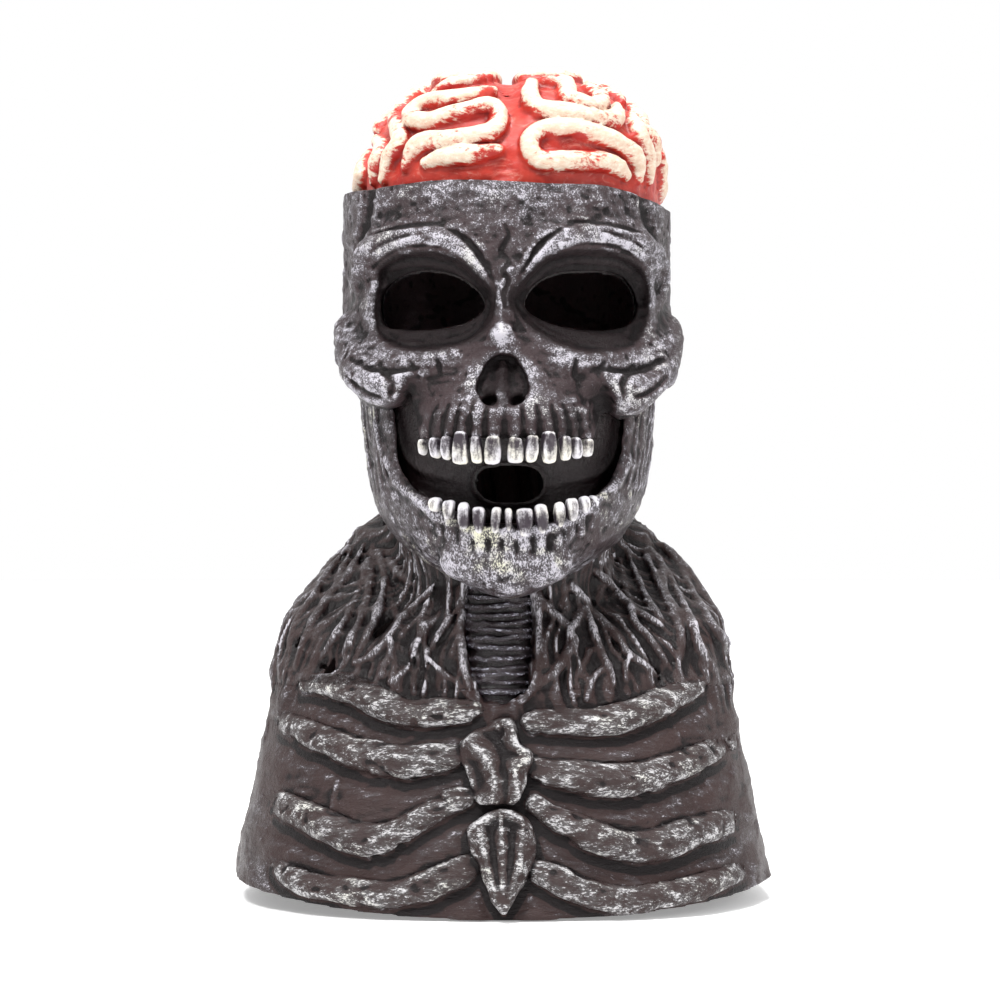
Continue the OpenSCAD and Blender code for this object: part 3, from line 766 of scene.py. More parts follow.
def make_skull():
    """The front and rear castings of the skull, sawn off at the rim and open below."""
    clay = Clay((-98, -122, -104), (98, 114, 62), 1.1)
    sculpt_skull(clay)
    outer = clay.f
    tones = relief_tones(clay, outer)
    tones["paint"] = skull_paint_and_shade
    x, y, z = clay.grid()
    dip = np.clip((x - 40) / 48, 0, 1)
    rim = z - RIM_Z + 8 * dip * dip * (3 - 2 * dip) - 1.2 * np.sin(x / 17) * np.cos(y / 23)
    shell = smax(outer, rim, 0.8)
    inner = blurred(outer, 1) + SKIN
    shell = smax(shell, -inner, 0.8)
    face = smax(shell, clay.outline_from_front(FACE_EDGE), 3)
    for eye in EYES:
        hole = clay.outline_from_front(loop(eye))
        face = smax(face, np.where(y < -30, -hole, -50), 1.5)
    face = np.maximum(face, y - SEAM_Y)
    finish_piece(piece_from("face", clay, face, tones), "mask", "skull_latex", SKULL_LATEX, "face_shell")
    side_edge = [(SEAM_Y, 90), (SEAM_Y, -44), (30, -62), (140, -62), (140, 90)]
    rear = smax(shell, clay.outline_from_side(side_edge), 0.5)
    piece = piece_from("skull_back", clay, rear, tones)
    finish_piece(piece, "mask", "skull_latex", SKULL_LATEX, "rear_shell")


def blob(p, x, z, w, h):
    return np.exp(-((p[:, 0] - x) / w)**2 - ((p[:, 2] - z) / h)**2)


def inside_outline(p, outline, soft):
    d = outline_distance(loop(outline), p[:, 0], p[:, 2])
    return np.clip(0.5 - d / soft, 0, 1)


def along_line(p, line, wide):
    """1 on a line drawn on the front, falling away over the given width."""
    return np.exp(-line_gap(line, p[:, 0], p[:, 2]) / wide**2)


def skull_paint_and_shade(p):
    """Where the pale paint is laid on more heavily or less on the skull; very low values also darken the eye
    sockets, nose hole, crack, grooves between the tooth roots, cheek hollows and the band over the teeth
    towards near black, as painted shade.
    """
    front = p[:, 1] < -20
    paint = -0.10 + 0.25 * blob(p, 0, 44, 90, 12) + 0.25 * blob(p, 0, 54, 90, 5)
    for line in (*BROWS, *CHEEK_RIDGES):
        paint += 0.30 * along_line(p, line, 4) * front
    # painted shade: no pale paint inside the eye sockets, which are darkened towards near black
    for rim in ORBITS:
        paint = paint - 1.5 * inside_outline(p, rim, 6) * front
    paint += (0.9 * blob(p, -3, -26, 2.4, 3.4) + 0.6 * blob(p, -3, -14, 1.0, 9)) * front
    # painted shade down the crack
    paint -= 2.2 * along_line(p, CRACK, 0.8) * front
    # painted shade in the grooves between the tooth roots
    for a, b in zip(UPPER_TEETH[:-1], UPPER_TEETH[1:]):
        mid = (a[0] + b[0]) / 2
        paint -= 0.8 * along_line(p, [(mid * 0.9, -60), (mid, -77)], 1.2) * front
    # painted shade in the nose hole
    paint -= 0.8 * inside_outline(p, APERTURE, 5) * front
    # painted shade in a band over the teeth
    paint -= 0.5 * blob(p, 0, -70, 46, 6) * front
    # less pale paint, and darker, between the brows and down the bridge of the nose
    paint -= 0.55 * blob(p, -2, 6, 10, 20) * front
    for side in (-1, 1):
        # painted shade in the hollows below the cheek bones; less pale paint, and a little darker, under the
        # eyes and beside the nose
        paint -= 0.7 * blob(p, side * 48, -54, 8, 12) * front
        paint -= 0.5 * (blob(p, side * 34, -48, 9, 9) + blob(p, side * 15, -30, 7, 8)) * front
        paint += 0.2 * blob(p, side * 70, -34, 16, 14)
    return paint


# ---------------------------------------------------------------- teeth

def tooth_field(clay, x0, wide, z0, z1, y, turn, lean, point, neck):
    """A flat peg with a narrow neck at the gum z0 and a worn edge at z1, more pointed by point."""
    low = min(z0, z1) - 3
    high = max(z0, z1) + 3
    w = clay.window((x0 - wide - 3, y - 9, low), (x0 + wide + 3, y + 9, high))
    gx, gy, gz = clay.grid(w)
    t = np.clip((gz - z0) / (z1 - z0), 0, 1)
    c, s = math.cos(turn), math.sin(turn)
    u = (gx - x0 - lean * t) * c + (gy - y) * s
    v = -(gx - x0 - lean * t) * s + (gy - y) * c
    half = wide * (neck + (0.58 - neck) * np.sin(t * 2.0)) * (1 - point * t**3)
    thick = 3.6 - 1.7 * t
    a = np.abs(u) - half + 1.3
    b = np.abs(v + 0.8 * np.sin(t * 3)) - thick + 1.3
    e = np.abs(gz - (z0 + z1) / 2) - abs(z1 - z0) / 2 + 1.3 + 0.12 * np.abs(u)
    d = np.sqrt(np.maximum(a, 0)**2 + np.maximum(b, 0)**2 + np.maximum(e, 0)**2)
    d = d + np.minimum(np.maximum(np.maximum(a, b), e), 0) - 1.3
    clay.f[w] = np.minimum(clay.f[w], d)


def make_teeth(name, teeth, half, front, upper, body, node):
    """A row of teeth along the arch that half and front give, each a little different."""
    z = [v for t in teeth for v in t[2:]]
    clay = Clay((-52, -118, min(z) - 5), (52, -60, max(z) + 5), 0.6)
    rng = np.random.default_rng(11)
    for x0, wide, top, low in teeth:
        u = np.clip(abs(x0) / half, 0, 0.97)
        y = -61 - (front - 61) * (1 - u**2.3)**(1 / 2.3)
        turn = math.asin(min(abs(x0) / half, 0.98)) * (1 if x0 > 0 else -1) * 0.75
        gum, edge = (top, low) if upper else (low, top)
        tooth_field(clay, x0, wide * 0.98, gum, edge, y, turn, rng.uniform(-0.8, 0.8), rng.uniform(0, 0.4),
                    0.40 if upper else 0.24)
    clay.f += 0.12 * mottle(clay, (2.5, 3, 6), 31) + 0.06 * mottle(clay, (2, 2, 2), 32)
    tones = relief_tones(clay, clay.f)
    gum_z = np.mean([t[2] if upper else t[3] for t in teeth])
    tones["gum"] = lambda p: np.clip(1 - np.abs(p[:, 2] - gum_z) / 9, 0, 1)
    finish_piece(piece_from(name, clay, clay.f, tones), body, "tooth_latex", TOOTH_LATEX, node)


def tooth_painted():
    """Ivory latex teeth, stained in upright streaks, and darker towards the gum and in the hollows between
    the teeth as painted shade.
    """
    material, tree, shader = shader_tree("tooth latex")
    streak = noise(tree, 420, 5, 0.75, (1, 1, 0.25))
    fine = noise(tree, 900, 4, 0.7)
    level = add(tree, off_centre(tree, streak, 3.0), off_centre(tree, fine, 1.4))
    # paler on raised edges; darker in the hollows between the teeth, as painted shade
    level = add(tree, level, scaled(tree, attribute(tree, "ridge"), 1.2))
    level = add(tree, level, scaled(tree, attribute(tree, "broad"), 0.12))
    # painted shade: darker towards the gum line
    level = math_node(tree, "SUBTRACT", level, scaled(tree, attribute(tree, "gum"), 1.1))
    mask = ramp(tree, level, -0.45, 0.95)
    ivory = mix_colour(tree, ramp(tree, noise(tree, 60, 2), 0.4, 0.7), (0.60, 0.58, 0.62), (0.72, 0.69, 0.60))
    # the near-black colour serves both the streaks of stain and the painted shade
    tree.links.new(mix_colour(tree, mask, (0.035, 0.026, 0.034), ivory), shader.inputs["Base Color"])
    roughen(tree, shader, streak, 0.5, 0.0004)
    shader.inputs["Roughness"].default_value = 0.35
    return material


# ---------------------------------------------------------------- the jaw

JAW_SIDE = [(30, -20), (-30, -20), (-52, -36), (-63, -53), (-67, -68), (-68, -82), (-73, -94), (-82, -103),
            (-91, -108), (-96, -114), (-100, -119), (-130, -121), (-130, -175), (-86, -172), (-50, -151),
            (-18, -131), (6, -108), (20, -84), (29, -56)]


def make_jaw():
    """The lower jaw: chin, tooth roots and gum, and sides drawn into strands up to the hinge."""
    clay = Clay((-96, -118, -168), (96, 36, -16), 1.2)
    clay.f = clay.section([(*row, JAW_X) for row in JAW], SQUARE)
    rng = np.random.default_rng(17)
    clay.f = smax(clay.f, -(clay.grid()[2] + 158), 5)
    clay.add_ball(clay.front(-19, -139, -7), (14, 9, 9), 9)
    clay.add_ball(clay.front(19, -140, -7), (14, 9, 9), 9)
    for x0, wide, _, root in LOWER_TEETH:
        line = clay.fronts([(x0, root + 1), (x0 * 0.97, root - 9)], -1.6)
        clay.add_tube(line, [wide * 0.5, 1.5], 2.4)
    for a, b in zip(LOWER_TEETH[:-1], LOWER_TEETH[1:]):
        mid, root = (a[0] + b[0]) / 2, (a[3] + b[3]) / 2
        gap = clay.fronts([(mid, root + 4), (mid, root - 3), (mid, root - 10)], 0.4)
        clay.cut_tube(gap, [2, 1.6, 0.6], 1.2)
    gum = [(-62, -86), (-57, -97), (-48, -105), (-38, -113), (-26, -119), (-12, -123), (0, -124), (12, -124),
           (26, -119), (38, -113), (48, -105), (57, -97), (62, -86)]
    clay.add_tube(clay.fronts(gum, -1.2), 2.6, 3)
    for side in (-1, 1):
        for k in range(11):
            y0, high, low = 20 - 8 * k + rng.uniform(-4, 4), rng.uniform(-52, -22), rng.uniform(-126, -86)
            slant = rng.uniform(4, 34)
            strand = [(side * 85, y0 - slant * (high - z0) / 100 + rng.uniform(-1.5, 1.5), z0)
                      for z0 in np.linspace(high, low, 5)]
            size = rng.uniform(0.7, 1.3)
            clay.add_tube(clay.snap(strand, -0.7), [0.5, size, size * 1.2, size, 0.5], 2.4)
    clay.f += weathered_bone(clay)
    outer = clay.f
    tones = relief_tones(clay, outer)
    tones["paint"] = jaw_paint_and_shade
    shell = smax(outer, -(blurred(outer, 1) + SKIN), 0.8)
    shell = smax(shell, clay.outline_from_side(loop(JAW_SIDE, 3)), 2)
    finish_piece(piece_from("jaw_skin", clay, shell, tones), "jaw", "jaw_latex", JAW_LATEX, "jaw_shell")


def jaw_paint_and_shade(p):
    """Pale patches on the chin, and painted shade, with less pale paint, at one corner of the mouth."""
    paint = 0.05 + 0.45 * blob(p, -22, -138, 20, 13) + 0.35 * blob(p, 24, -142, 20, 10)
    paint += 0.2 * blob(p, 0, -128, 46, 5)
    # painted shade: less pale paint at one corner of the mouth
    paint -= 0.5 * blob(p, 46, -128, 14, 9)
    return paint


# ---------------------------------------------------------------- the liner

def make_liner():
    """The dark inner face, with folds beside the mouth and holes for the eyes and the mouth."""
    clay = Clay((-86, -100, -124), (86, 18, 44), 1.3)
    clay.f = clay.section(LINER, SQUARE)
    mouth = loop([(-15.5, -98), (-12, -92), (0, -90), (13, -91), (18, -97), (16, -104), (8, -107.5),
                  (-6, -107.5), (-13, -104)])
    lip = clay.fronts([tuple(p) for p in mouth[::2]] + [tuple(mouth[0])], 0.5)
    clay.add_tube(lip, 2.6, 3)
    folds = [[(-60, -50), (-57, -64), (-54, -80), (-46, -90), (-34, -94), (-22, -97)],
             [(-66, -60), (-62, -84), (-52, -100), (-36, -107), (-18, -112)],
             [(60, -50), (58, -66), (55, -84), (48, -92), (36, -96), (22, -99)],
             [(66, -60), (62, -86), (52, -102), (36, -108), (18, -113)]]
    for line in folds:
        clay.add_tube(clay.fronts(line, -1.4), tapered(line, 1.2, 2.2, 1.2), 2.5)
    _, y, z = clay.grid()
    tones = relief_tones(clay, clay.f)
    # no pale paint on the liner; a value this low also darkens it towards near black, as painted shade inside
    # the mask, over its own dark latex
    tones["paint"] = lambda p: np.full(len(p), -0.9)
    shell = smax(clay.f, -(clay.f + 1.8), 0.5)
    shell = np.maximum(np.maximum(shell, y - 14), np.maximum(z - 38, -(z + 118)))
    shell = smax(shell, np.where(y < -20, -clay.outline_from_front(mouth), -50), 1.5)
    for eye in EYES:
        hole = clay.outline_from_front(loop(eye)) + 0.8
        shell = smax(shell, np.where(y < -20, -hole, -50), 1)
    finish_piece(piece_from("liner", clay, shell, tones), "mask", "liner_latex", LINER_LATEX, "face_liner")


# ---------------------------------------------------------------- neck and chest

VEINS = [
    [(-37, -149, 2), (-41, -155, 2.4), (-49, -163, 2.2), (-57, -171, 2), (-62, -179, 2), (-67, -185, 1.8),
     (-73, -190, 1.4), (-79, -192, 1)],
    [(-61, -179, 1.6), (-61, -187, 1.5), (-64, -194, 1.2), (-65, -199, 1)],
    [(-39, -153, 1.8), (-43, -163, 2), (-45, -172, 2), (-46, -179, 1.8), (-50, -186, 1.5), (-49, -197, 1.3),
     (-48, -207, 1)],
    [(-43, -172, 1.4), (-43, -181, 1.7), (-42, -189, 1.6), (-42, -199, 1.3), (-43, -207, 1)],
    [(-46, -180, 1.4), (-50, -190, 1.5), (-53, -196, 1.3), (-61, -202, 1)],
    [(-42, -188, 1.2), (-36, -194, 1.5), (-28, -200, 1.4), (-22, -206, 1.2), (-16, -212, 1)],
    [(-25, -160, 1.2), (-30, -170, 1.6), (-36, -178, 1.4), (-38, -184, 1)],
    [(46, -144, 2), (56, -153, 2.6), (63, -161, 2.6), (68, -166, 2.2), (76, -170, 2), (83, -174, 1.2)],
    [(66, -163, 1.6), (68, -172, 2), (74, -178, 1.7), (80, -187, 1.3), (84, -192, 1)],
    [(34, -152, 1.8), (41, -160, 2.4), (45, -167, 2.4), (53, -174, 2.3), (60, -182, 2.2), (64, -188, 2),
     (72, -193, 1.6), (80, -200, 1.1)],
    [(42, -164, 1.6), (46, -177, 2), (50, -186, 1.8), (54, -196, 1.5), (58, -206, 1)],
    [(17, -159, 1.5), (23, -165, 2), (29, -170, 2.2), (33, -175, 2.2)],
    [(40, -164, 1.4), (37, -170, 1.8), (33, -175, 2.2), (35, -181, 2.4), (30, -189, 2.4), (25, -196, 2.2),
     (16, -203, 1.8), (7, -211, 1.2)],
    [(64, -188, 1.4), (62, -194, 1.3), (62, -201, 1)],
    [(44, -185, 1.2), (40, -192, 1.5), (36, -199, 1.4), (37, -208, 1)],
    [(49, -195, 1.2), (44, -201, 1.4), (41, -210, 1)],
]
STRANDS = [
    [(-70, -136), (-64, -155), (-59, -168), (-55, -178)],
    [(-74, -134), (-74, -152), (-76, -167), (-82, -180), (-88, -190)],
    [(-76, -140), (-80, -160), (-90, -177), (-98, -190)],
    [(-79, -132), (-87, -150), (-96, -160), (-103, -173), (-109, -186)],
    [(-86, -134), (-92, -152), (-101, -168), (-108, -184), (-112, -196)],
    [(-88, -132), (-102, -154), (-109, -166), (-117, -178)],
    [(-64, -140), (-58, -147), (-49, -153)],
    [(-66, -150), (-68, -166), (-74, -180), (-80, -192)],
    [(73, -134), (83, -140), (86, -156), (93, -169), (99, -181), (104, -190), (109, -197), (114, -211)],
    [(84, -132), (92, -140), (100, -155), (108, -172), (116, -182), (121, -193)],
    [(67, -138), (74, -157), (80, -170), (86, -184)],
    [(62, -140), (64, -156), (68, -165)],
    [(90, -132), (99, -143), (108, -157), (118, -173), (124, -186)],
    [(56, -139), (53, -149), (47, -163)],
    [(76, -136), (84, -156), (92, -177), (91, -187), (89, -200)],
    [(78, -134), (90, -152), (99, -174), (106, -194)],
]
CROSS_VEINS = [
    [(-87, -243, 1.6), (-86, -248, 1.4), (-89, -258, 1.5), (-90, -268, 1)],
    [(-72, -214, 1.2), (-70, -220, 1.5), (-73, -229, 1)],
    [(84, -219, 1), (88, -225, 1.4), (90, -233, 1)],
]
# Each bone: name, CAD node, points of x, z and half height along its middle
BONES = [
    ("collarbone_left", "left_collarbone",
     [(-108, -204, 4), (-95, -204, 6.5), (-80, -206, 8), (-68, -212, 8.5), (-54, -217, 8), (-38, -217, 8),
      (-23, -217, 6.5), (-15, -216, 4)]),
    ("collarbone_right", "right_collarbone",
     [(103, -205, 4), (90, -209, 7), (77, -214, 8.5), (61, -220, 8.5), (46, -222, 7.5), (31, -221, 7.5),
      (18, -221, 6.5), (12, -221, 5)]),
    ("rib_left_1", "left_rib_upper",
     [(-127, -224, 6), (-112, -227, 6.5), (-98, -231, 7), (-83, -236, 8), (-68, -240, 9), (-53, -242, 9),
      (-38, -240, 8.5), (-26, -239, 6)]),
    ("rib_left_2", "left_rib_middle",
     [(-135, -262, 5.5), (-116, -267, 7.5), (-98, -273, 8.5), (-84, -279, 9), (-70, -281, 8.5),
      (-56, -277, 7), (-40, -267, 7), (-28, -261, 7), (-19, -259, 5)]),
    ("rib_left_3", "left_rib_lower",
     [(-141, -294, 4), (-117, -300, 6), (-98, -305, 6.5), (-77, -307, 7), (-60, -308, 7), (-41, -303, 8),
      (-26, -297, 8), (-17, -292, 5)]),
    ("rib_right_1", "right_rib_upper",
     [(13, -245, 5.5), (30, -248, 8), (48, -251, 9), (66, -251, 9), (84, -246, 8), (102, -241, 7),
      (122, -235, 5)]),
    ("rib_right_2", "right_rib_middle",
     [(14, -262, 5), (27, -270, 7), (43, -278, 8.5), (60, -284, 8.5), (75, -284, 9), (93, -279, 8.5),
      (112, -276, 7), (131, -275, 5.5)]),
    ("rib_right_3", "right_rib_lower",
     [(15, -295, 5.5), (28, -301, 7.5), (41, -307, 7.5), (60, -311, 7), (79, -309, 7), (98, -306, 6.5),
      (118, -302, 5.5), (136, -299, 4)]),
]
PLATES = [
    ("breastbone_top", "breastbone_upper",
     [(-23, -229), (-13, -223), (2, -219), (7, -231), (13, -237), (10, -252), (4, -262), (-8, -262),
      (-16, -262), (-21, -248), (-25, -238)],
     [[(-22, -228), (-11, -237), (-6, -249), (-8, -262)],
      [(1, -220), (5, -231), (11, -237), (4, -244), (6, -260)]]),
    ("breastbone_tip", "breastbone_lower",
     [(-19, -271), (-3, -263), (11, -269), (16, -282), (11, -297), (2, -313), (-2, -317), (-8, -310),
      (-14, -295), (-20, -281)],
     [[(-18, -272), (-3, -264), (10, -270)], [(-14, -274), (-10, -292), (-3, -314)], [(-3, -266), (-2, -314)],
      [(8, -272), (6, -292), (-1, -314)]]),
]


def bone_distance(clay, path, window):
    """A strap of bone with a crest above and a hanging lip below, sinking into the chest to the side."""
    size = np.array([h for _, _, h in path])
    sink = np.array([0.06 * max(abs(x) - 94, 0) + 0.25 * max(abs(x) - 118, 0) for x, _, h in path])

    def bar(rise, thick, out):
        line = [clay.snap([clay.front(x, z + rise * h)], out * h - k)[0] for (x, z, h), k in zip(path, sink)]
        return clay.tube_distance(line, size * thick, window)

    broad = bar(0, 0.95, -0.32)
    return smin(broad, np.minimum(bar(-0.52, 0.40, 0.10), bar(0.64, 0.30, 0.06)), 2)


def plate_distance(clay, outline, keels, window):
    """A raised plate with sharp keels that its facets fall away from."""
    x, y, z = clay.grid(window)
    rise = 5.0
    for keel in keels:
        rise = np.maximum(rise, 11 - 0.75 * np.sqrt(line_gap(keel, x[:, 0, :], z[0, :, :])))
    top = (clay.skin(window) - rise)[:, None, :]
    return smax(clay.outline_from_front(loop(outline, 3), window) + 0.5, 0.8 * (top - y), 2)


def torso_body(clay):
    """The throat on its shoulders, with the nape behind and the windpipe's channel in front."""
    z = clay.grid()[2]
    throat = smax(clay.section(THROAT, SQUARE), -(z + 236), 4)
    shoulders = clay.section([(*row, TORSO_X) for row in SHOULDERS], SHOULDER_SQUARE, centred=True)
    clay.f = smin(throat, smax(shoulders, z + 102, 6), 12)
    nape = [(0, 78, -66), (0, 80, -90), (0, 82, -118), (0, 88, -150)]
    clay.add_tube(nape, [14, 12, 12, 10], 12)
    channel = clay.fronts([(-4, -140), (-4, -160), (-4, -180), (-4, -198)], 1)
    clay.cut_tube(channel, [18, 19, 19, 15], 4)


def neck_cords(clay):
    """Strands, veins and the two cords that run down beside the windpipe."""
    for line in STRANDS:
        clay.add_tube(clay.fronts(line, 0), tapered(line, 1.6, 2.6, 0.8), 2)
    back_strands(clay)
    for line in VEINS:
        clay.add_tube(clay.fronts([p[:2] for p in line], 0.9), [p[2] for p in line], 1.4)
    for line in ([(-25, -153), (-25, -166), (-24, -180), (-23, -192), (-19, -206)],
                 [(16, -153), (17, -168), (17, -182), (16, -195), (11, -206)]):
        clay.add_tube(clay.fronts(line, 0.2), [1.6, 1.8, 1.8, 1.6, 1.2], 1.6)
    for line in CROSS_VEINS:
        clay.add_tube(clay.fronts([p[:2] for p in line], 0.2), [p[2] for p in line], 1.6)


def bone_fields(clay, base):
    """All the bones as one field, and each one's own name, node, window and field."""
    bones = np.full(clay.f.shape, 40, np.float32)
    parts = []
    smooth = Clay(clay.low, [a[-1] for a in clay.axes], clay.step)
    smooth.f = base
    for name, node, path in BONES:
        w = clay.around([smooth.front(a, b) for a, b, _ in path], 26)
        parts.append((name, node, w, bone_distance(smooth, path, w)))
    for name, node, ring, keels in PLATES:
        w = clay.around([smooth.front(a, b) for a, b in ring], 16)
        parts.append((name, node, w, plate_distance(smooth, ring, keels, w)))
    for _, _, w, d in parts:
        bones[w] = np.minimum(bones[w], d)
    bones += 0.35 * mottle(clay, (16, 12, 9), 61) + 0.22 * mottle(clay, (9, 7, 4), 62)
    bones += 0.9 * np.clip(mottle(clay, (7, 6, 4.5), 63) - 0.9, 0, 1.5)
    return bones, parts


def make_torso():
    """The neck, the two halves of the chest, and the bones that stand out of it."""
    clay = Clay((-154, -124, -324), (154, 122, -56), 1.45)
    torso_body(clay)
    base = clay.f.copy()
    fibres = neck_fibres(clay)
    clay.f += fibres
    neck_cords(clay)
    clay.f += rough_chest(clay)
    bones, parts = bone_fields(clay, base)
    x, y, z = clay.grid()
    undercut = np.roll(bones, -4, axis=2) - 2.0
    sculpt = smin(smax(clay.f, -undercut, 5), bones, 1.6)
    sculpt = np.where(z < COLLAR_Z + 18, sculpt, clay.f).astype(np.float32)
    tones = relief_tones(clay, sculpt)
    # the paint value follows the neck fibres: more pale paint on their tops, and less in the grooves between
    # them, which also darkens the grooves as painted shade
    tones["paint"] = lambda p: torso_paint(p) - 0.13 * clay.at(p, fibres)
    hem = -(z - (HEM_Z + HEM_RISE * (x / HEM_HALF)**2))
    inner = blurred(base, 2) + SKIN + 0.4

    sunk = sculpt + 0.5 * np.clip((1.4 - bones) / 1.4, 0, 1)
    skin_only = np.minimum(np.maximum(sunk, 0.1 - bones), base + 1.0)
    wall = smax(skin_only, -inner, 0.8)
    chest = np.maximum(smax(wall, hem, 1.5), z - COLLAR_Z + 0.1)
    for name, node, half in (("chest_front_skin", "chest_front", y - SEAM_Y),
                             ("chest_back_skin", "chest_back", SEAM_Y - y)):
        piece = piece_from(name, clay, np.maximum(chest, half), tones)
        finish_piece(piece, "mask", "chest_latex", CHEST_LATEX, node)

    neck = smax(sculpt + 0.5 * np.clip((COLLAR_Z + 1 - z) / 1.5, 0, 1), -inner, 0.8)
    foot = COLLAR_Z - 7
    side = [(-200, -119), (2, -119), (14, -100), (14, -61), (200, -61), (200, foot), (-200, foot)]
    neck = np.maximum(neck, clay.outline_from_side(side))
    finish_piece(piece_from("neck_flesh", clay, neck, tones), "mask", "flesh_latex", FLESH_LATEX, "neck_skin")

    for name, node, w, d in parts:
        field = np.maximum(np.maximum(sculpt[w], d - 1.0), -(base[w] + 1.2))
        field = np.maximum(field, hem[w[0], :, :][:, :, w[2]])
        finish_piece(piece_from(name, clay, field, tones, w), "mask", "bone_latex", BONE_LATEX, node)


def neck_fibres(clay):
    """Long shallow muscle fibres that fan out from under the jaw, front and back, in mm to take off."""
    x, y, z = clay.grid()
    reach = np.sqrt(x**2 + (y - 10)**2) - z
    turn = np.arctan2(x, 10 - y)
    fan = turn * 75
    wander = 4 * lattice(fan / 25 + 300, reach / 30 + 300, 71)
    fibre = 0.4 - np.abs(lattice((fan + wander) / 4.6 + 300, reach / 38 + 300, 72))
    thin = 0.4 - np.abs(lattice((fan + wander) / 2.4 + 300, reach / 24 + 300, 73))
    fade = np.clip((z + 222) / 20, 0, 1) * np.clip((math.pi - np.abs(turn)) * 10, 0, 1)
    return (-(4.4 * fibre + 1.8 * thin) * fade).astype(np.float32) * np.ones_like(clay.f)


def rough_chest(clay):
    """Lumps and sideways drag marks over the chest, in mm to take off."""
    lumps = mottle(clay, (24, 20, 14), 64)
    drags = np.abs(mottle(clay, (18, 14, 4.5), 65)) - 0.7
    return 0.5 * lumps - 0.3 * drags + 0.1 * mottle(clay, (5, 5, 4), 66)


def back_strands(clay):
    """Long muscles fanning from the nape down to the shoulders and the back."""
    for side in (-1, 1):
        for k in range(7):
            a = 0.12 + 0.2 * k
            top = (side * 40 * math.sin(a + 0.3), 20 + 62 * math.cos(a), -92)
            mid = (side * (46 * math.sin(a) + 16), 30 + 66 * math.cos(a), -140)
            low = (side * (110 * math.sin(a) + 6), 12 + 92 * math.cos(a), -196 - 4 * k)
            clay.add_tube(clay.snap(curve([top, mid, low], 3), -0.8), [1.4, 2, 2.6, 2.8, 2.6, 2, 1.2], 3)


def torso_paint(p):
    """Little paint on the neck and chest, most of it round the foot of the throat."""
    return -0.25 + 0.15 * np.exp(-((p[:, 2] + 165) / 26)**2)


# ---------------------------------------------------------------- the windpipe

PIPE_X = -4           # the windpipe's middle
PIPE_HALF = 17.6
PIPE_LEAN = 0.27      # how far it leans forward for each mm down


def pipe_radius(z):
    """Half the windpipe's width at a height: even, then rounded in at its foot."""
    return PIPE_HALF - 3 * np.clip((-200 - z) / 14, 0, 1)**2


def make_windpipe():
    """A tube of uneven rings down the front of the neck, leaning out with it to a rounded foot."""
    clay = Clay((-30, -108, -222), (24, -46, -146), 0.8)
    x, y, z = clay.grid()
    middle = y + 48 + PIPE_LEAN * (-z - 158)
    clay.f = (np.sqrt((x - PIPE_X)**2 + middle**2) - pipe_radius(z)).astype(np.float32)
    rng = np.random.default_rng(3)
    top = -153
    while top > -210:
        tilt, bow = rng.uniform(-0.07, 0.07), rng.uniform(-1.2, 0.4)
        size = rng.uniform(1.2, 1.9)
        ring = []
        for a in np.linspace(-1.45, 1.45, 15):
            px = PIPE_X + (PIPE_HALF + 0.6) * math.sin(a)
            pz = top + tilt * (px - PIPE_X) + bow * math.cos(a) + rng.uniform(-0.4, 0.4)
            py = -48 - PIPE_LEAN * (-pz - 158) - (pipe_radius(pz) + 0.6) * math.cos(a)
            ring.append((px, py, pz))
        clay.add_tube(ring, [size * rng.uniform(0.75, 1.1) for _ in ring], 1.2)
        top -= size * 2 + rng.uniform(0.8, 1.8)
    clay.f += 0.15 * mottle(clay, (4, 4, 2.4), 51)
    tones = relief_tones(clay, clay.f)
    tones["paint"] = lambda p: np.full(len(p), -0.25)
    shell = smax(clay.f, -(clay.f + 2.4), 0.6)
    shell = np.maximum(np.maximum(shell, np.maximum(z + 150, -(z + 217))), middle)
    piece = piece_from("trachea", clay, shell, tones)
    finish_piece(piece, "mask", "windpipe_latex", WINDPIPE_LATEX, "windpipe")


# ---------------------------------------------------------------- finishes for the CAD's own pieces

def fitting_finish(name, grain, start, dark, pale, smooth, strength, metallic):
    """A small hard part: fine grain in the colour, the gloss and the surface."""
    material, tree, shader = shader_tree(name)
    fine = noise(tree, *grain)
    low, high = smooth
    tree.links.new(mix_colour(tree, ramp(tree, fine, start, 0.7), dark, pale), shader.inputs["Base Color"])
    tree.links.new(ramp(tree, fine, 0.3, 0.7, low, high), shader.inputs["Roughness"])
    roughen(tree, shader, fine, strength, 0.0002)
    shader.inputs["Metallic"].default_value = metallic
    return material


def dress_fittings():
    """Finishes for the hinge studs and eyelets, which keep the CAD's own meshes."""
    black = fitting_finish("moulded black", (900, 3, 0.6), 0.4, (0.02, 0.02, 0.021), (0.05, 0.048, 0.05),
                           (0.3, 0.5), 0.3, 0.0)
    nickel = fitting_finish("dull nickel", (600, 4, 0.7, (0.2, 1, 1)), 0.35, (0.32, 0.30, 0.27),
                            (0.5, 0.48, 0.44), (0.28, 0.5), 0.25, 1.0)
    for node, material in (("left_jaw_stud", black), ("right_jaw_stud", black),
                           ("left_jaw_eyelet", nickel), ("right_jaw_eyelet", nickel)):
        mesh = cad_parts[node].data
        mesh.materials.clear()
        mesh.materials.append(material)


# ---------------------------------------------------------------- stage

EYE_POINT = Vector((-0.0036, -1.570, -0.107))
LENS = 103.8


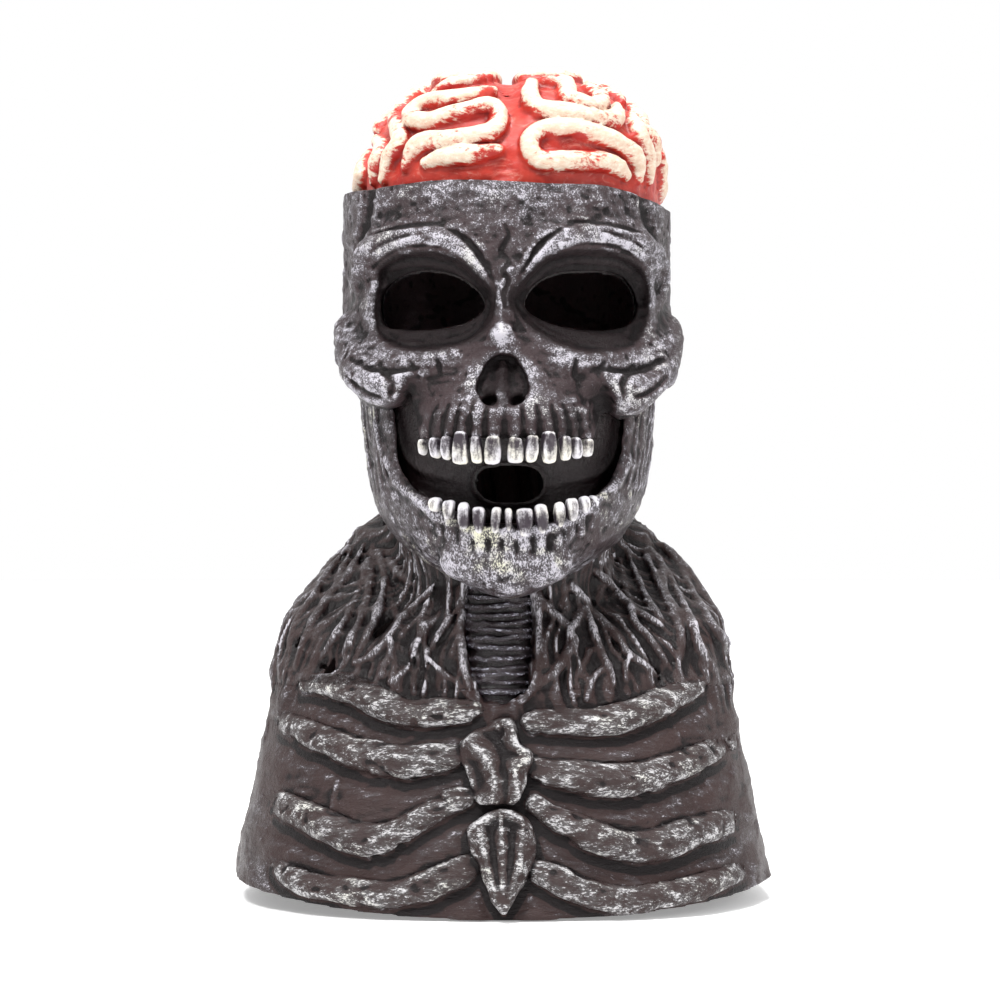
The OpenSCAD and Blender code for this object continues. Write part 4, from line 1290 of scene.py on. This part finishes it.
def make_stage():
    """The camera, a pale floor, white walls and three soft lights."""
    scene = bpy.context.scene
    camera = put_in_scene("camera", bpy.data.cameras.new("camera"))
    camera.data.lens = LENS
    camera.data.sensor_width = 36
    camera.location = EYE_POINT
    camera.rotation_euler = (math.pi / 2, 0, 0)
    scene.camera = camera

    floor_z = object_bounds()[0][2] - 0.0005
    mesh = bpy.data.meshes.new("floor")
    r = 6.0
    corners = [(-r, -r, floor_z), (r, -r, floor_z), (r, r, floor_z), (-r, r, floor_z)]
    mesh.from_pydata(corners, [], [(0, 1, 2, 3)])
    floor = put_in_scene("floor", mesh)
    material, _, shader = shader_tree("floor")
    shader.inputs["Base Color"].default_value = (0.92, 0.92, 0.92, 1)
    shader.inputs["Roughness"].default_value = 0.8
    shader.inputs["Emission Color"].default_value = (1, 1, 1, 1)
    shader.inputs["Emission Strength"].default_value = 0.3
    mesh.materials.append(material)

    world = bpy.data.worlds.new("studio")
    scene.world = world
    world.use_nodes = True
    studio_walls(world.node_tree)
    add_light("key", (-0.6, -0.9, 1.3), 0.35, 24)
    add_light("fill", (1.2, -1.1, 0.5), 0.5, 6)
    add_light("top", (0.15, -0.25, 1.4), 0.4, 22)
    scene.view_settings.view_transform = "Standard"


def studio_walls(tree):
    """White walls behind the mask and overhead, and a dim room on the side it faces."""
    direction = wire(tree, "ShaderNodeTexCoord").outputs["Generated"]
    parts = wire(tree, "ShaderNodeSeparateXYZ", {"Vector": direction})
    behind = ramp(tree, parts.outputs["Y"], -0.80, 0.05, 0.2, 1.0)
    above = ramp(tree, parts.outputs["Z"], 0.25, 0.95, 0.2, 1.0)
    level = math_node(tree, "MAXIMUM", behind, above)
    tree.links.new(level, tree.nodes["Background"].inputs["Strength"])
    tree.nodes["Background"].inputs["Color"].default_value = (1, 1, 1, 1)


def add_light(name, place, size, power):
    """A soft square light aimed at the mask."""
    lamp = bpy.data.lights.new(name, "AREA")
    lamp.size = size
    lamp.energy = power
    light = put_in_scene(name, lamp)
    light.location = place
    aim = Vector((0, 0, -0.1)) - Vector(place)
    light.rotation_euler = aim.to_track_quat("-Z", "Y").to_euler()


PLUM = (0.034, 0.0185, 0.0175)
# near black: the colour of the painted shade in creases and recesses, and of the random dark patches
PITCH = (0.005, 0.0025, 0.003)
SILVER = (0.50, 0.48, 0.53)
CHALK = (0.72, 0.71, 0.62)
SKULL_LATEX = drybrushed("skull latex", (0.040, 0.025, 0.027), PITCH, SILVER, CHALK, 0.14, accent_amount=0.45,
                         gain=0.9, drag=1.9, swell=0.45)
JAW_LATEX = drybrushed("jaw latex", (0.038, 0.024, 0.026), PITCH, SILVER, (0.74, 0.73, 0.52), 0.12,
                       gain=0.8, stretch=(1, 1, 0.6), accent_amount=0.8, drag=2.0, swell=0.35)
LINER_LATEX = drybrushed("liner latex", (0.018, 0.008, 0.009), PITCH, SILVER, SILVER, -0.9, gloss=0.2,
                         grit=0.3, sheen=0.5)
FLESH_LATEX = drybrushed("flesh latex", PLUM, PITCH, (0.50, 0.48, 0.52), CHALK, -0.20, gain=0.6,
                         stretch=(1, 1, 0.3), gloss=0.3, sheen=0.3, drag=2.2, swell=0.3)
CHEST_LATEX = drybrushed("chest latex", PLUM, PITCH, (0.44, 0.42, 0.46), CHALK, -0.10, gain=0.7,
                         stretch=(0.3, 1, 1), gloss=0.36, drag=1.8)
BONE_LATEX = drybrushed("bone latex", (0.036, 0.022, 0.021), PITCH, (0.54, 0.53, 0.54), CHALK, 0.20, gain=0.6,
                        stretch=(0.35, 1, 1), gloss=0.38, accent_amount=0.5, drag=4.2, swell=0.3)
WINDPIPE_LATEX = drybrushed("windpipe latex", (0.014, 0.007, 0.010), PITCH, (0.46, 0.45, 0.54), CHALK, -0.25,
                            gain=0.6, stretch=(0.25, 1, 1), gloss=0.16, sheen=0.5, drag=2.4)
TOOTH_LATEX = tooth_painted()

make_stage()
make_brain()
make_skull()
make_teeth("upper_tooth_row", UPPER_TEETH, 47, 109, True, "mask", "upper_teeth")
make_teeth("lower_tooth_row", LOWER_TEETH, 50, 104, False, "jaw", "lower_teeth")
make_jaw()
make_liner()
make_torso()
make_windpipe()
dress_fittings()
